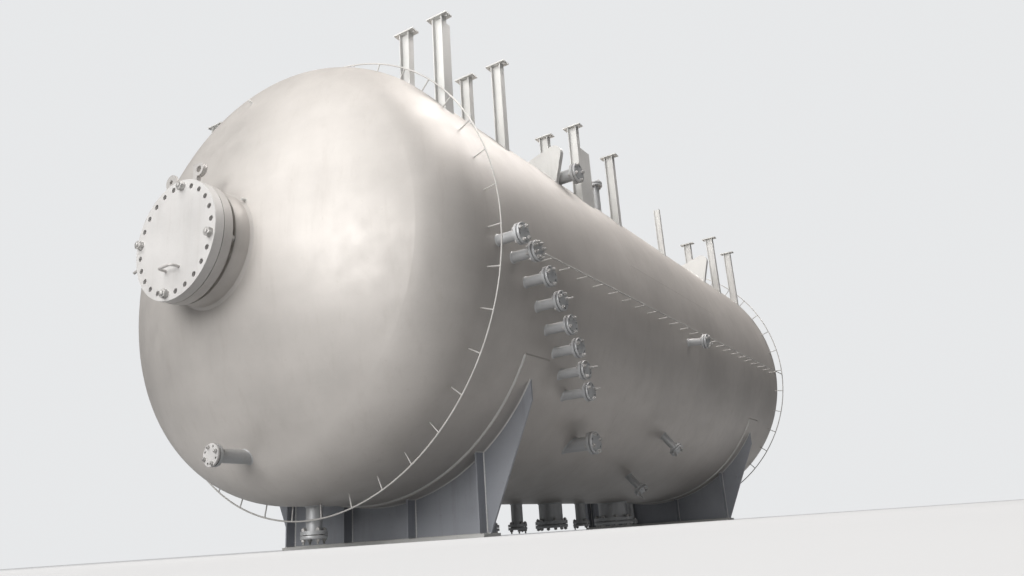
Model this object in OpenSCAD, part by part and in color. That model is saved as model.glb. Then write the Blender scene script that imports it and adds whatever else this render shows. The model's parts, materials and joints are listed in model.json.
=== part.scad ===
// Horizontal pressure tank on two saddles, all sizes in millimetres.
// X runs along the tank, the manway end at -X. Z is up, the floor is Z = 0.
// The origin lies on the floor, midway between the saddles and the two sides.

/* [Tank] */

// outside diameter of the tank body
body_od = 3734; // [3000:2:4400]
// wall thickness of the body and of the domed ends
wall = 38; // [20:1:60]
// length of the round body between the two domed ends
body_len = 8000; // [7000:10:10000]
// clear height between the floor and the lowest line of the body
floor_gap = 323; // [315:1:600]
// outside knuckle radius of a domed end
knuckle_r = 575; // [450:1:740]
// outside crown radius of a domed end
crown_r = 2950; // [2600:5:3600]

/* [Manway] */

// outside diameter of the manway flange and its cover
manway_od = 914; // [800:2:1000]
// thickness of the manway flange
manway_flange_t = 70; // [40:1:90]
// thickness of the manway cover
manway_cover_t = 70; // [40:1:90]
// gasket thickness between manway flange and cover
manway_gasket_t = 5; // [2:1:8]
// clear bore through the manway
manway_bore = 584; // [400:2:610]
// outside diameter of the manway neck behind its flange
manway_neck_od = 880; // [700:2:890]
// how far the cover's front face stands out from the crown of the domed end
manway_out = 290.83; // [260:0.01:400]
// bolt circle of the manway
manway_pcd = 813; // [780:1:840]
// diameter of the manway bolt holes
manway_hole_d = 41; // [30:1:45]
// number of manway bolt holes
manway_holes = 24; // [16:4:28]

/* [Manway fittings] */

// width across the bent grab handle on the cover
handle_w = 170; // [120:2:240]
// how far the grab handle stands out from the cover
handle_out = 75; // [50:1:110]
// thickness of the grab handle's round bar
handle_bar = 20; // [12:1:26]
// distance of the grab handle below the cover's centre
handle_drop = 225; // [120:5:290]
// bend radius of the grab handle's corners
handle_bend = 30; // [15:1:38]
// thickness of the lug plate at the manway rim
rim_lug_t = 20; // [10:1:30]
// diameter of the hole in the lug plate at the manway rim
rim_lug_hole = 36; // [20:1:44]
// half the width of the lug plate at the manway rim
rim_lug_half = 60; // [40:1:80]
// distance of the lug plate's round tip above the manway rim
rim_lug_rise = 58; // [40:1:90]
// lean of the lug plate at the manway rim, away from the row of level branches
rim_lug_lean = 14.5; // [0:0.5:30]
// thickness of the eye above the manway flange
eye_t = 36; // [20:1:50]
// outside radius of the eye above the manway flange
eye_r = 52; // [40:1:64]
// diameter of the hole in the eye above the manway flange
eye_hole = 52; // [30:1:60]
// distance of the eye from the tank's centre plane
eye_side = 100; // [60:1:160]
// distance of the eye's centre above the manway flange's rim
eye_rise = 108; // [80:1:140]
// width of the stem that carries the eye
eye_stem_w = 52; // [30:1:70]
// distance between the stem's middle and the eye's centre
eye_stem_shift = 44; // [20:1:60]

/* [Small branches] */

// flange diameter of the small branches
small_od = 165; // [140:1:180]
// flange and cover thickness of the small branches
small_t = 23; // [16:1:30]
// neck diameter of the small branches
small_neck = 84; // [70:1:96]
// bore of the small branches
small_bore = 50; // [30:1:60]
// bolt circle of the small branches
small_pcd = 127; // [118:1:134]
// bolt hole diameter of the small branches
small_hole = 19; // [12:1:20]
// gasket thickness in every branch joint
joint_gap = 3; // [2:1:5]
// how far the cover faces of the small branches stand out from the body
small_out = 229; // [215:1:400]

/* [Row of eight level branches] */

// distance between two neighbours in the row, along X
level_step_x = 204; // [180:1:230]
// drop between two neighbours in the row, from the second one on
level_step_z = 147.5; // [120:0.5:160]
// distance from the body's front end line to the first of the row
level_start_x = 165; // [112:1:200]
// height of the first of the row below the tank's centre line
level_first_drop = 89; // [60:1:96]
// height of the second of the row below the tank's centre line
level_second_drop = 170; // [160:1:200]
// diameter of the stud bolts in the second of the row
stud_d = 16; // [12:0.5:18]
// width of a stud bolt's nuts across their flats
nut_flats = 27; // [22:0.5:28]
// thickness of a stud bolt's nuts
nut_t = 15.5; // [10:0.5:18]
// how far a stud bolt's ends stand out from its nuts
stud_end = 18; // [5:0.5:22]

/* [Side, top and end branches] */

// distance of the three side branches from the front end line
side_x = 4150; // [3950:1:4300]
// angle of the upper side branch below the level
side_angle_1 = 6.2; // [5.5:0.1:12]
// angle of the middle side branch below the level
side_angle_2 = 41; // [30:0.5:50]
// angle of the lower side branch below the level
side_angle_3 = 60.4; // [55:0.1:70]
// slope of the middle and the lower side branch, which stand parallel
side_slant = 50.5; // [45:0.5:55]
// how far their cover faces stand out from the body
slant_out = 240; // [215:1:300]
// distance of the lower level branch from the front end line
lower_x = 2225; // [2000:1:2300]
// height of the lower level branch below the tank's centre line
lower_drop = 1419; // [1300:1:1500]
// how far the lower level branch's cover face stands out from the body
lower_out = 286.7; // [260:0.1:400]
// distance of the upper level branch from the front end line
upper_x = 2141; // [2090:1:2300]
// height of the upper level branch above the tank's centre line
upper_rise = 1287; // [1100:1:1330]
// how far the upper level branch's cover face stands out from the body
upper_out = 287; // [250:1:360]
// distance of the top branch from the front end line
vent_x = 3360; // [3250:1:3370]
// distance of the top branch from the tank's centre plane
vent_side = 1250; // [1100:1:1300]
// how far the top branch's cover face stands out from the body
vent_out = 340; // [300:1:420]
// height of the front end's lower branch below the tank's centre line
head_drop = 1514; // [1400:1:1560]
// how far that branch's cover face stands out from the domed end
head_out = 314.4; // [260:0.1:400]
// neck diameter of that branch
head_neck = 104; // [84:1:108]

/* [Medium branches] */

// flange diameter of the medium branches
medium_od = 210; // [190:1:230]
// flange and cover thickness of the medium branches
medium_t = 29; // [20:1:34]
// neck diameter of the medium branches
medium_neck = 128; // [100:1:140]
// bore of the medium branches
medium_bore = 76; // [50:1:90]
// bolt circle of the medium branches
medium_pcd = 168; // [164:1:180]
// bolt hole diameter of the medium branches
medium_hole = 22; // [16:1:23]

/* [Bottom branches] */

// how far the cover faces under the tank stand out from the body
bottom_out = 275; // [255:1:300]
// how far the front bottom branch's cover face stands out from the body
bottom_front_out = 250; // [230:1:300]
// distance of the front bottom branch from the body's front end line
bottom_front_x = 133; // [125:1:300]
// distance of the outlet branch with the widest flange from the front end line
large_x = 5567; // [5400:1:5700]
// distance of the second bottom branch from the front end line
bottom_second_x = 2575; // [2400:1:2700]
// distance of the small bottom branch behind the widest one from the front end line
bottom_small_x = 6150; // [6000:1:6400]
// distance of the second widest bottom branch from the front end line
middle_x = 3877; // [3700:1:3950]
// distance between the bottom branches beside the second widest one
bottom_step = 749; // [600:1:800]
// flange diameter of the widest bottom branch
large_od = 521; // [480:1:560]
// flange thickness of the widest bottom branch
large_t = 41; // [30:1:50]
// neck diameter of the widest bottom branch
large_neck = 380; // [330:1:400]
// bore of the widest bottom branch
large_bore = 300; // [240:1:310]
// bolt circle of the widest bottom branch
large_pcd = 451; // [440:1:470]
// bolt hole diameter of the widest bottom branch
large_hole = 32; // [24:1:34]
// number of bolt holes of the widest bottom branch
large_holes = 16; // [12:4:20]
// flange diameter of the second widest bottom branch
middle_od = 381; // [360:1:400]
// flange thickness of the second widest bottom branch
middle_t = 38; // [28:1:44]
// neck diameter of the second widest bottom branch
middle_neck = 278; // [240:1:284]
// bore of the second widest bottom branch
middle_bore = 200; // [160:1:210]
// bolt circle of the second widest bottom branch
middle_pcd = 330; // [324:1:345]
// bolt hole diameter of the second widest bottom branch
middle_hole = 26; // [20:1:28]
// number of bolt holes of the second widest bottom branch
middle_holes = 12; // [8:4:16]

/* [Standoff rings and side bars] */

// distance of the ring bars from the body's surface
ring_out = 113; // [70:1:160]
// thickness of the round ring bars and side bars
ring_bar = 13; // [8:1:20]
// distance of each ring from the body's end line
ring_inset = 38; // [20:1:44]
// thickness of the short clips that carry the rings and side bars
clip_bar = 11; // [8:1:14]
// angle between two neighbouring clips of a ring
ring_clip_angle = 9.36; // [6:0.01:15]
// angle of a ring's first clip above the level on the far side
ring_clip_start = 2.8; // [1:0.1:6]
// depth of the side bars below the tank's centre line
side_drop = 90; // [86:1:100]
// distance from the front end line to the start of the side bars
side_start = 440; // [425:1:600]
// distance from the start of a side bar to its first clip
side_clip_first = 42; // [10:1:100]
// spacing of the side bar clips
side_clip_step = 311; // [250:1:350]

/* [Platform posts] */

// height of the post tops above the highest line of the body
post_rise = 168; // [120:1:400]
// width of the post section along the tank
post_w = 68; // [56:1:80]
// depth of the post section across the tank
post_d = 102; // [80:1:120]
// flange thickness of the post section
post_flange_t = 7.5; // [5:0.5:12]
// web thickness of the post section
post_web_t = 5; // [4:0.5:10]
// distance of the outer post rows from the centre plane
post_outer_y = 1445; // [1400:1:1500]
// distance of the inner post rows from the centre plane
post_inner_y = 1085; // [1000:1:1150]
// length of a post's cap plate across the tank
cap_len = 205; // [180:1:240]
// width of a post's cap plate along the tank
cap_w = 92; // [80:1:140]
// thickness of a post's cap plate
cap_t = 12; // [8:1:16]
// diameter of the cap plate holes
cap_hole = 18; // [12:1:22]
// distance between the two holes of a cap plate
cap_pitch = 150; // [140:1:160]
// distance of the first posts from the body's end lines
post_x1 = 112; // [100:1:200]
// distance of the second posts from the body's end lines
post_x2 = 1000; // [900:1:1100]
// distance of the third posts from the front end line
post_x3 = 2500; // [2400:1:2600]
// distance of the fourth post from the front end line
post_x4 = 3410; // [3300:1:3600]
// distance of the low post without a cap from the front end line
low_post_x = 4805; // [4600:1:5000]
// how far the low post's top lies below the highest line of the body
low_post_drop = 67; // [20:1:120]
// width of the low post's section along the tank
low_post_w = 44; // [36:1:60]
// depth of the low post's section across the tank
low_post_d = 76; // [60:1:90]
// thickness of the flat plates that stand behind two of the posts
side_plate_t = 11; // [8:1:16]
// length of the plate behind the first post
first_plate_len = 46; // [30:1:80]
// how far the top of the plate behind the first post lies below the post tops
first_plate_drop = 58; // [30:1:100]
// length of the plate behind the third post
third_plate_len = 205; // [150:1:260]
// how far the top of the plate behind the third post lies below the post tops
third_plate_drop = 257; // [200:1:320]

/* [Lifting lugs] */

// distance of the front lifting lugs from the front end line
lug_front_x = 2000; // [1900:1:2060]
// distance of the rear lifting lugs from the front end line
lug_rear_x = 6430; // [6300:1:6600]
// angle of the lifting lugs above the level
lug_angle = 46; // [44:1:50]
// thickness of a lifting lug plate
lug_t = 56; // [30:1:70]
// rounding radius at a lifting lug's tip
lug_tip_r = 90; // [70:1:110]
// distance from the body's surface to the centre of the lug's tip
lug_h = 215; // [160:1:260]
// slant of a lifting lug's sides
lug_slant = 29; // [20:1:32]

/* [Saddles] */

// distance of each saddle's web from the nearer end line
saddle_inset = 945; // [850:1:1100]
// length of a saddle's base plate across the tank
base_len = 2282; // [2270:1:2500]
// width of a saddle's base plate along the tank
base_w = 236; // [220:1:300]
// thickness of a saddle's base plate
base_t = 25; // [16:1:40]
// thickness of a saddle's web
web_t = 20; // [12:1:30]
// how far the web's foot stands back from the base plate's ends
web_inset = 8; // [0:1:20]
// thickness of a saddle's ribs
rib_t = 16; // [10:1:24]
// how far the ribs stand back from the base plate's edges
rib_inset = 2; // [0:1:12]
// distance of the outer ribs from the centre plane
rib_outer_y = 1093; // [1040:1:1110]
// distance of the inner ribs from the centre plane
rib_inner_y = 365; // [300:1:420]
// width of a wear plate along the tank
wear_w = 376; // [320:1:420]
// thickness of a wear plate
wear_t = 16; // [10:1:24]
// angle below the level at which the wear plate ends
wear_end = 26.5; // [20:0.5:30]
// angle below the level at which the saddle's horns end
horn_end = 32; // [31:0.5:38]
// height of the upright edge under each horn
horn_edge = 168; // [120:1:220]
// diameter of the anchor bolt holes in the base plates
anchor_d = 33; // [24:1:39]
// distance between anchor bolt holes along the tank
anchor_x = 150; // [130:1:170]
// distance between anchor bolt holes across the tank
anchor_y = 1458; // [1300:1:1600]
// diameter of the earthing boss on the rear saddle's web
boss_d = 55; // [40:1:70]
// how far the earthing boss stands out from the web
boss_len = 28; // [20:1:40]
// distance of the earthing boss from the centre plane
boss_side = 1300; // [1200:1:1330]
// height of the earthing boss above the floor
boss_height = 585; // [500:1:700]

/* [Hidden] */

R = body_od / 2;
Ri = R - wall;
axis_height = R + floor_gap;
crown_y = -sqrt(pow(crown_r - knuckle_r, 2) - pow(R - knuckle_r, 2));
dome = crown_r + crown_y;
knuckle_x = R - knuckle_r;
tangent_x = knuckle_x * crown_r / (crown_r - knuckle_r);
front_x = -body_len / 2;
rear_x = body_len / 2;
// gap left between pieces that only touch
seat = 0.2;
// how far a cutting shape runs past the face it cuts
over = 1;
// how far a piece is carried into the surface that trims it
sink = 30;
wear_r = R + wear_t;
ring_r = R + ring_out;
small_reach = R + small_out;
bottom_reach = R + bottom_out;
bottom_front_reach = R + bottom_front_out;
post_top = R + post_rise;
manway_reach = dome + manway_out;
flange_back = manway_reach - manway_cover_t - manway_gasket_t - manway_flange_t;
// bolts in every branch flange but the widest two
branch_holes = 8;
// how far a gasket's edge stays inside the bolt holes
gasket_clear = 2;
manway_gasket_clear = 5;
// the level row has eight branches
level_count = 8;
// the one of them that is modelled with its stud bolts
stud_branch = 1;
slant_angles = [side_angle_2, side_angle_3];
$fn = 96;
fine = 360;
// radius above which a round is drawn finely
fine_from = 400;

// half width of the body at height or depth d from the centre line
function surf(d) = sqrt(R * R - d * d);
function surf_in(d) = sqrt(Ri * Ri - d * d);
// depth of the domed end, outside, at radius r
function dome_depth(r) = r < tangent_x ? crown_y + sqrt(crown_r * crown_r - r * r)
    : sqrt(knuckle_r * knuckle_r - pow(r - knuckle_x, 2));

// places its children on the tank's centre line, x measured from the front end line
module along(x) {
    translate([front_x + x, 0, axis_height]) children();
}

// a round solid along X
module round_x(r, len) {
    rotate([0, 90, 0]) cylinder(r = r, h = len, $fn = r > fine_from ? fine : $fn);
}

// the outline of a domed end, grow added to its outside radii: r to the right, depth upwards
module dome_area(grow) {
    cc = crown_r + grow;
    kk = knuckle_r + grow;
    d = crown_r - knuckle_r;
    tx = knuckle_x * cc / d;
    ty = crown_y - crown_y * cc / d;
    union() {
        intersection() {
            translate([0, crown_y]) circle(r = cc, $fn = fine);
            polygon([[0, 0], [knuckle_x, 0], [tx * 1.2, crown_y + (ty - crown_y) * 1.2], [0, 2 * dome]]);
        }
        intersection() {
            translate([knuckle_x, 0]) circle(r = kk, $fn = fine);
            translate([knuckle_x, 0]) square([2 * kk, 2 * kk]);
        }
        polygon([[0, 0], [knuckle_x, 0], [tx, ty], [0, ty]]);
    }
}

// one domed end, its rim at z = 0 and its crown upwards
module head_solid() {
    rotate_extrude($fn = fine) difference() {
        dome_area(0);
        dome_area(-wall);
    }
}

// removes the domed end's outer surface from its children
module on_dome() {
    difference() {
        children();
        rotate_extrude($fn = fine) dome_area(seat / 2);
    }
}

module front_place() { translate([front_x, 0, axis_height]) rotate([0, -90, 0]) children(); }
module rear_place() { translate([rear_x, 0, axis_height]) rotate([0, 90, 0]) children(); }

// one ring of bolt holes through a plate that starts at z = 0
module hole_ring(pcd, d, n, t) {
    for (i = [0 : n - 1])
        rotate([0, 0, (i + 0.5) * 360 / n]) translate([pcd / 2, 0, -over]) cylinder(d = d, h = t + 2 * over);
}

// flange with neck: z = 0 is the joint face, the neck runs down to z = -len
module branch(od, t, neck, bore, pcd, hole, n, len) {
    difference() {
        union() {
            translate([0, 0, -t]) cylinder(d = od, h = t);
            translate([0, 0, -len]) cylinder(d = neck, h = len - t / 2);
        }
        translate([0, 0, -len - over]) cylinder(d = bore, h = len + 2 * over);
        translate([0, 0, -t]) hole_ring(pcd, hole, n, t);
    }
}

// closing cover, seated on the gasket that lies on the joint face at z = 0
module cover_plate(od, t, pcd, hole, n) {
    translate([0, 0, joint_gap]) difference() {
        cylinder(d = od, h = t);
        hole_ring(pcd, hole, n, t);
    }
}

// flat gasket inside the bolt circle
module gasket_plate(bore, pcd, hole) {
    difference() {
        cylinder(d = pcd - hole - 2 * gasket_clear, h = joint_gap);
        translate([0, 0, -over]) cylinder(d = bore, h = joint_gap + 2 * over);
    }
}

// depth of branch i of the level row below the centre line
function level_drop(i) = i == 0 ? level_first_drop : level_second_drop + level_step_z * (i - 1);

// distances of the joint faces from the centre plane or the centre line
function level_face(i) = sqrt(pow(small_reach, 2) - pow(level_drop(i), 2)) - small_t - joint_gap;
side_face = small_reach - small_t - joint_gap;
slant_face = slant_out - small_t - joint_gap;
lower_face = surf(lower_drop) + lower_out - medium_t - joint_gap;
upper_face = surf(upper_rise) + upper_out - medium_t - joint_gap;
vent_face = surf(vent_side) + vent_out - small_t - joint_gap;
head_face = dome_depth(head_drop) + head_out - small_t - joint_gap;

// places the joint face of a level branch on the near side, z pointing outwards to -Y
module level_place(x, face, z) {
    along(x) translate([0, -face, z]) rotate([90, 0, 0]) children();
}
module row_place(i) {
    level_place(level_start_x + level_step_x * i, level_face(i), -level_drop(i)) children();
}
module lower_place() { level_place(lower_x, lower_face, -lower_drop) children(); }
module upper_place() { level_place(upper_x, upper_face, upper_rise) children(); }
module vent_place() { along(vent_x) translate([0, -vent_side, vent_face]) children(); }
module head_place() {
    along(-head_face) translate([0, 0, -head_drop]) rotate([0, -90, 0]) children();
}

// places the upper side branch square to the body's surface
module side_place() {
    along(side_x) rotate([side_angle_1, 0, 0]) translate([0, -side_face, 0]) rotate([90, 0, 0]) children();
}
// places a slanted side branch whose axis meets the surface a degrees below the level
module slant_place(a) {
    along(side_x) translate([0, -R * cos(a), -R * sin(a)]) rotate([side_slant, 0, 0])
        translate([0, -slant_face, 0]) rotate([90, 0, 0]) children();
}

// places a bottom branch, z pointing down
module bottom_place(x, t, reach = bottom_reach) {
    along(x) translate([0, 0, -(reach - t - joint_gap)]) rotate([180, 0, 0]) children();
}
module bottom_front_place() { bottom_place(bottom_front_x, medium_t, bottom_front_reach) children(); }

// removes the body's outer cylinder from its children
module on_body() {
    difference() {
        children();
        translate([front_x - over, 0, axis_height]) round_x(R + seat / 2, body_len + 2 * over);
    }
}

bottom_xs = [bottom_second_x, middle_x - bottom_step, middle_x + bottom_step];

// a cutter from a joint face down through the body's wall, d off the centre plane or line
module bore_cut(face, d, bore) {
    len = face - surf_in(d + bore / 2) + sink;
    translate([0, 0, -len]) cylinder(d = bore, h = len);
}

module shell() {
    color("silver") difference() {
        translate([front_x, 0, axis_height]) round_x(R, body_len);
        translate([front_x - over, 0, axis_height]) round_x(Ri, body_len + 2 * over);
        bores();
    }
}

// the bores of every branch through the body's wall
module bores() {
    for (i = [0 : level_count - 1]) row_place(i) bore_cut(level_face(i), level_drop(i), small_bore);
    side_place() bore_cut(side_face, 0, small_bore);
    for (a = slant_angles) slant_place(a) translate([0, 0, -slant_face - 2 * wall])
        cylinder(d = small_bore, h = slant_face + 2 * wall);
    lower_place() bore_cut(lower_face, lower_drop, medium_bore);
    upper_place() bore_cut(upper_face, upper_rise, medium_bore);
    vent_place() bore_cut(vent_face, vent_side, small_bore);
    bottom_front_place() bore_cut(bottom_front_reach, 0, medium_bore);
    for (x = bottom_xs) bottom_place(x, medium_t) bore_cut(bottom_reach, 0, medium_bore);
    bottom_place(bottom_small_x, small_t) bore_cut(bottom_reach, 0, small_bore);
    bottom_place(middle_x, middle_t) bore_cut(bottom_reach, 0, middle_bore);
    bottom_place(large_x, large_t) bore_cut(bottom_reach, 0, large_bore);
}

module front_head() {
    color("silver") difference() {
        front_place() head_solid();
        front_place() cylinder(d = manway_bore, h = dome + over);
        head_place() translate([0, 0, -head_branch_len - 2 * wall])
            cylinder(d = small_bore, h = head_branch_len + 2 * wall);
    }
}

module rear_head() {
    color("silver") rear_place() head_solid();
}

module manway_neck() {
    foot = dome_depth(manway_neck_od / 2) - sink;
    color("silver") front_place() on_dome() difference() {
        translate([0, 0, foot]) cylinder(d = manway_neck_od, h = flange_back - foot, $fn = fine);
        cylinder(d = manway_bore, h = manway_reach);
    }
}

module manway_flange() {
    color("silver") front_place() translate([0, 0, flange_back]) difference() {
        cylinder(d = manway_od, h = manway_flange_t, $fn = fine);
        translate([0, 0, -over]) cylinder(d = manway_bore, h = manway_flange_t + 2 * over);
        hole_ring(manway_pcd, manway_hole_d, manway_holes, manway_flange_t);
    }
}

module manway_gasket() {
    color("dimgray") front_place() translate([0, 0, flange_back + manway_flange_t]) difference() {
        cylinder(d = manway_pcd - manway_hole_d - 2 * manway_gasket_clear, h = manway_gasket_t);
        translate([0, 0, -over]) cylinder(d = manway_bore, h = manway_gasket_t + 2 * over);
    }
}

module manway_cover() {
    color("silver") front_place() translate([0, 0, manway_reach - manway_cover_t]) difference() {
        cylinder(d = manway_od, h = manway_cover_t, $fn = fine);
        hole_ring(manway_pcd, manway_hole_d, manway_holes, manway_cover_t);
    }
}

// bent grab handle: two legs and a cross bar with round corners
module manway_handle() {
    r = handle_bar / 2;
    half = handle_w / 2 - r;
    rise = handle_out - r - handle_bend;
    color("silver") along(-manway_reach) translate([0, 0, -handle_drop]) rotate([0, -90, 0]) {
        for (s = [-1, 1]) {
            translate([0, s * half, 0]) cylinder(r = r, h = rise);
            translate([0, s * (half - handle_bend), rise]) rotate([90, 0, s * 90])
                rotate_extrude(angle = 90) translate([handle_bend, 0]) circle(r = r);
        }
        translate([0, handle_bend - half, handle_out - r]) rotate([-90, 0, 0])
            cylinder(r = r, h = 2 * (half - handle_bend));
    }
}

// removes a full round of the manway's diameter from its children
module on_rim(t) {
    difference() {
        children();
        translate([-t, 0, 0]) round_x(manway_od / 2 + seat / 2, 2 * t);
    }
}

// lug plate with a hole, standing on the cover's rim
module manway_rim_lug() {
    rim = manway_od / 2;
    color("silver") along(manway_cover_t / 2 - manway_reach) on_rim(rim_lug_t)
        rotate([-rim_lug_lean, 0, 0]) translate([-rim_lug_t / 2, 0, rim]) rotate([90, 0, 90])
        linear_extrude(rim_lug_t) difference() {
            union() {
                translate([-rim_lug_half, -sink]) square([2 * rim_lug_half, rim_lug_rise + sink]);
                translate([0, rim_lug_rise]) circle(r = rim_lug_half);
            }
            translate([0, rim_lug_rise]) circle(d = rim_lug_hole);
        }
}

// round eye beside a stem on the flange's rim, for the arm that swings the cover
module manway_arm_eye() {
    rim = manway_od / 2;
    x = manway_reach - manway_cover_t - manway_gasket_t - manway_flange_t / 2;
    color("silver") along(-x) on_rim(eye_t) translate([-eye_t / 2, -eye_side, rim + eye_rise])
        rotate([90, 0, 90]) linear_extrude(eye_t) difference() {
            union() {
                circle(r = eye_r);
                translate([eye_stem_shift - eye_stem_w / 2, -eye_rise - sink])
                    square([eye_stem_w, eye_rise + sink + eye_r]);
            }
            circle(d = eye_hole);
        }
}

// a ring bar around the tank, x measured from the front end line
module ring_at(x) {
    along(x) rotate([0, 90, 0]) rotate_extrude() translate([ring_r, 0]) circle(d = ring_bar);
}

ring_clips = floor(360 / ring_clip_angle);

module ring_clips_at(x) {
    len = ring_out - ring_bar / 2 - 2 * seat;
    for (i = [0 : ring_clips - 1])
        along(x) rotate([ring_clip_start + i * ring_clip_angle - 90, 0, 0]) translate([0, 0, R + seat])
            cylinder(d = clip_bar, h = len);
}

module front_ring() { color("silver") ring_at(ring_inset); }
module rear_ring() { color("silver") ring_at(body_len - ring_inset); }
module front_ring_clips() { color("silver") ring_clips_at(ring_inset); }
module rear_ring_clips() { color("silver") ring_clips_at(body_len - ring_inset); }

side_y = sqrt(pow(ring_r, 2) - pow(side_drop, 2));
side_len = body_len - ring_inset - ring_bar / 2 - seat - side_start;
side_clips = floor((side_len - side_clip_first - clip_bar) / side_clip_step);

module side_bar(s) {
    along(side_start) translate([0, s * side_y, -side_drop]) round_x(ring_bar / 2, side_len);
}

module bar_clips(s) {
    top = side_y - ring_bar / 2 - seat;
    len = top - surf(side_drop + clip_bar) + sink;
    on_body() for (i = [0 : side_clips])
        along(side_start + side_clip_first + i * side_clip_step) translate([0, s * top, -side_drop])
            rotate([s * 90, 0, 0]) cylinder(d = clip_bar, h = len);
}

module near_side_bar() { color("silver") side_bar(-1); }
module far_side_bar() { color("silver") side_bar(1); }
module near_bar_clips() { color("silver") bar_clips(-1); }
module far_bar_clips() { color("silver") bar_clips(1); }

// each branch takes the distance d of its axis from the centre plane or line, so that its
// neck reaches the body's surface on both sides
function neck_len(face, d, neck) = face - surf(d + neck / 2) + sink;
head_branch_len = head_face - dome_depth(head_drop + head_neck / 2) + sink;

module small_branch(len, neck = small_neck) {
    branch(small_od, small_t, neck, small_bore, small_pcd, small_hole, branch_holes, len);
}
module small_cover() { cover_plate(small_od, small_t, small_pcd, small_hole, branch_holes); }
module small_gasket() { gasket_plate(small_bore, small_pcd, small_hole); }
module medium_branch(len) {
    branch(medium_od, medium_t, medium_neck, medium_bore, medium_pcd, medium_hole, branch_holes, len);
}
module medium_cover() { cover_plate(medium_od, medium_t, medium_pcd, medium_hole, branch_holes); }
module medium_gasket() { gasket_plate(medium_bore, medium_pcd, medium_hole); }

module level_branches() {
    color("silver") for (i = [0 : level_count - 1]) on_body() row_place(i)
        small_branch(neck_len(level_face(i), level_drop(i), small_neck));
}
module level_covers() {
    color("silver") for (i = [0 : level_count - 1]) row_place(i) small_cover();
}

// a stud bolt with its two nuts, seated on the cover and on the flange
module small_stud() {
    outer = joint_gap + small_t + seat;
    inner = -small_t - seat - nut_t;
    corners = nut_flats / cos(30);
    translate([0, 0, inner - stud_end]) cylinder(d = stud_d, h = outer - inner + nut_t + 2 * stud_end);
    for (z = [inner, outer]) translate([0, 0, z]) cylinder(d = corners, h = nut_t, $fn = 6);
}
module level_studs() {
    color("silver") row_place(stud_branch) for (i = [0 : branch_holes - 1])
        rotate([0, 0, (i + 0.5) * 360 / branch_holes]) translate([small_pcd / 2, 0, 0]) small_stud();
}

module side_branches() {
    color("silver") {
        on_body() side_place() small_branch(neck_len(side_face, 0, small_neck));
        for (a = slant_angles) on_body() slant_place(a) small_branch(slant_face + 2 * sink);
        on_body() upper_place() medium_branch(neck_len(upper_face, upper_rise, medium_neck));
        on_body() vent_place() small_branch(neck_len(vent_face, vent_side, small_neck));
    }
}
module side_covers() {
    color("silver") {
        side_place() small_cover();
        for (a = slant_angles) slant_place(a) small_cover();
        upper_place() medium_cover();
        vent_place() small_cover();
    }
}

module lower_branch() {
    color("silver") on_body() lower_place() medium_branch(neck_len(lower_face, lower_drop, medium_neck));
}
module lower_cover() { color("silver") lower_place() medium_cover(); }

module head_branch() {
    color("silver") front_place() on_dome() translate([-head_drop, 0, head_face])
        small_branch(head_branch_len, head_neck);
}
module head_branch_cover() { color("silver") head_place() small_cover(); }

module bottom_branches() {
    color("silver") {
        for (x = bottom_xs) on_body() bottom_place(x, medium_t)
            medium_branch(neck_len(bottom_reach, 0, medium_neck));
        on_body() bottom_front_place() medium_branch(neck_len(bottom_front_reach, 0, medium_neck));
        on_body() bottom_place(bottom_small_x, small_t) small_branch(neck_len(bottom_reach, 0, small_neck));
    }
}
module bottom_covers() {
    color("silver") {
        for (x = bottom_xs) bottom_place(x, medium_t) medium_cover();
        bottom_front_place() medium_cover();
        bottom_place(bottom_small_x, small_t) small_cover();
    }
}
module middle_outlet() {
    color("silver") on_body() bottom_place(middle_x, middle_t)
        branch(middle_od, middle_t, middle_neck, middle_bore, middle_pcd, middle_hole, middle_holes,
            neck_len(bottom_reach, 0, middle_neck));
}
module middle_cover() {
    color("silver") bottom_place(middle_x, middle_t)
        cover_plate(middle_od, middle_t, middle_pcd, middle_hole, middle_holes);
}
module large_outlet() {
    color("silver") on_body() bottom_place(large_x, large_t)
        branch(large_od, large_t, large_neck, large_bore, large_pcd, large_hole, large_holes,
            neck_len(bottom_reach, 0, large_neck));
}
module large_cover() {
    color("silver") bottom_place(large_x, large_t)
        cover_plate(large_od, large_t, large_pcd, large_hole, large_holes);
}

module joint_gaskets() {
    color("dimgray") {
        for (i = [0 : level_count - 1]) row_place(i) small_gasket();
        side_place() small_gasket();
        for (a = slant_angles) slant_place(a) small_gasket();
        vent_place() small_gasket();
        head_place() small_gasket();
        bottom_place(bottom_small_x, small_t) small_gasket();
        lower_place() medium_gasket();
        upper_place() medium_gasket();
        for (x = bottom_xs) bottom_place(x, medium_t) medium_gasket();
        bottom_front_place() medium_gasket();
        bottom_place(middle_x, middle_t) gasket_plate(middle_bore, middle_pcd, middle_hole);
        bottom_place(large_x, large_t) gasket_plate(large_bore, large_pcd, large_hole);
    }
}

// I-section of width w along the tank and depth d across it, standing upright on the body
module post(x, y, w, d, top) {
    h = top - surf(abs(y) + d / 2) + sink;
    on_body() along(x) translate([-w / 2, y - d / 2, top - h]) {
        cube([w, post_flange_t, h]);
        translate([0, d - post_flange_t, 0]) cube([w, post_flange_t, h]);
        translate([(w - post_web_t) / 2, post_flange_t / 2, 0]) cube([post_web_t, d - post_flange_t, h]);
    }
}

// flat plate behind a post, level with the post's outer face
module post_plate(x, s, len, drop) {
    y = post_outer_y + post_d / 2 - side_plate_t;
    top = post_top - drop;
    h = top - surf(y + side_plate_t) + sink;
    on_body() along(x + post_w / 2 + seat) translate([0, s > 0 ? y : -y - side_plate_t, top - h])
        cube([len, side_plate_t, h]);
}

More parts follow.
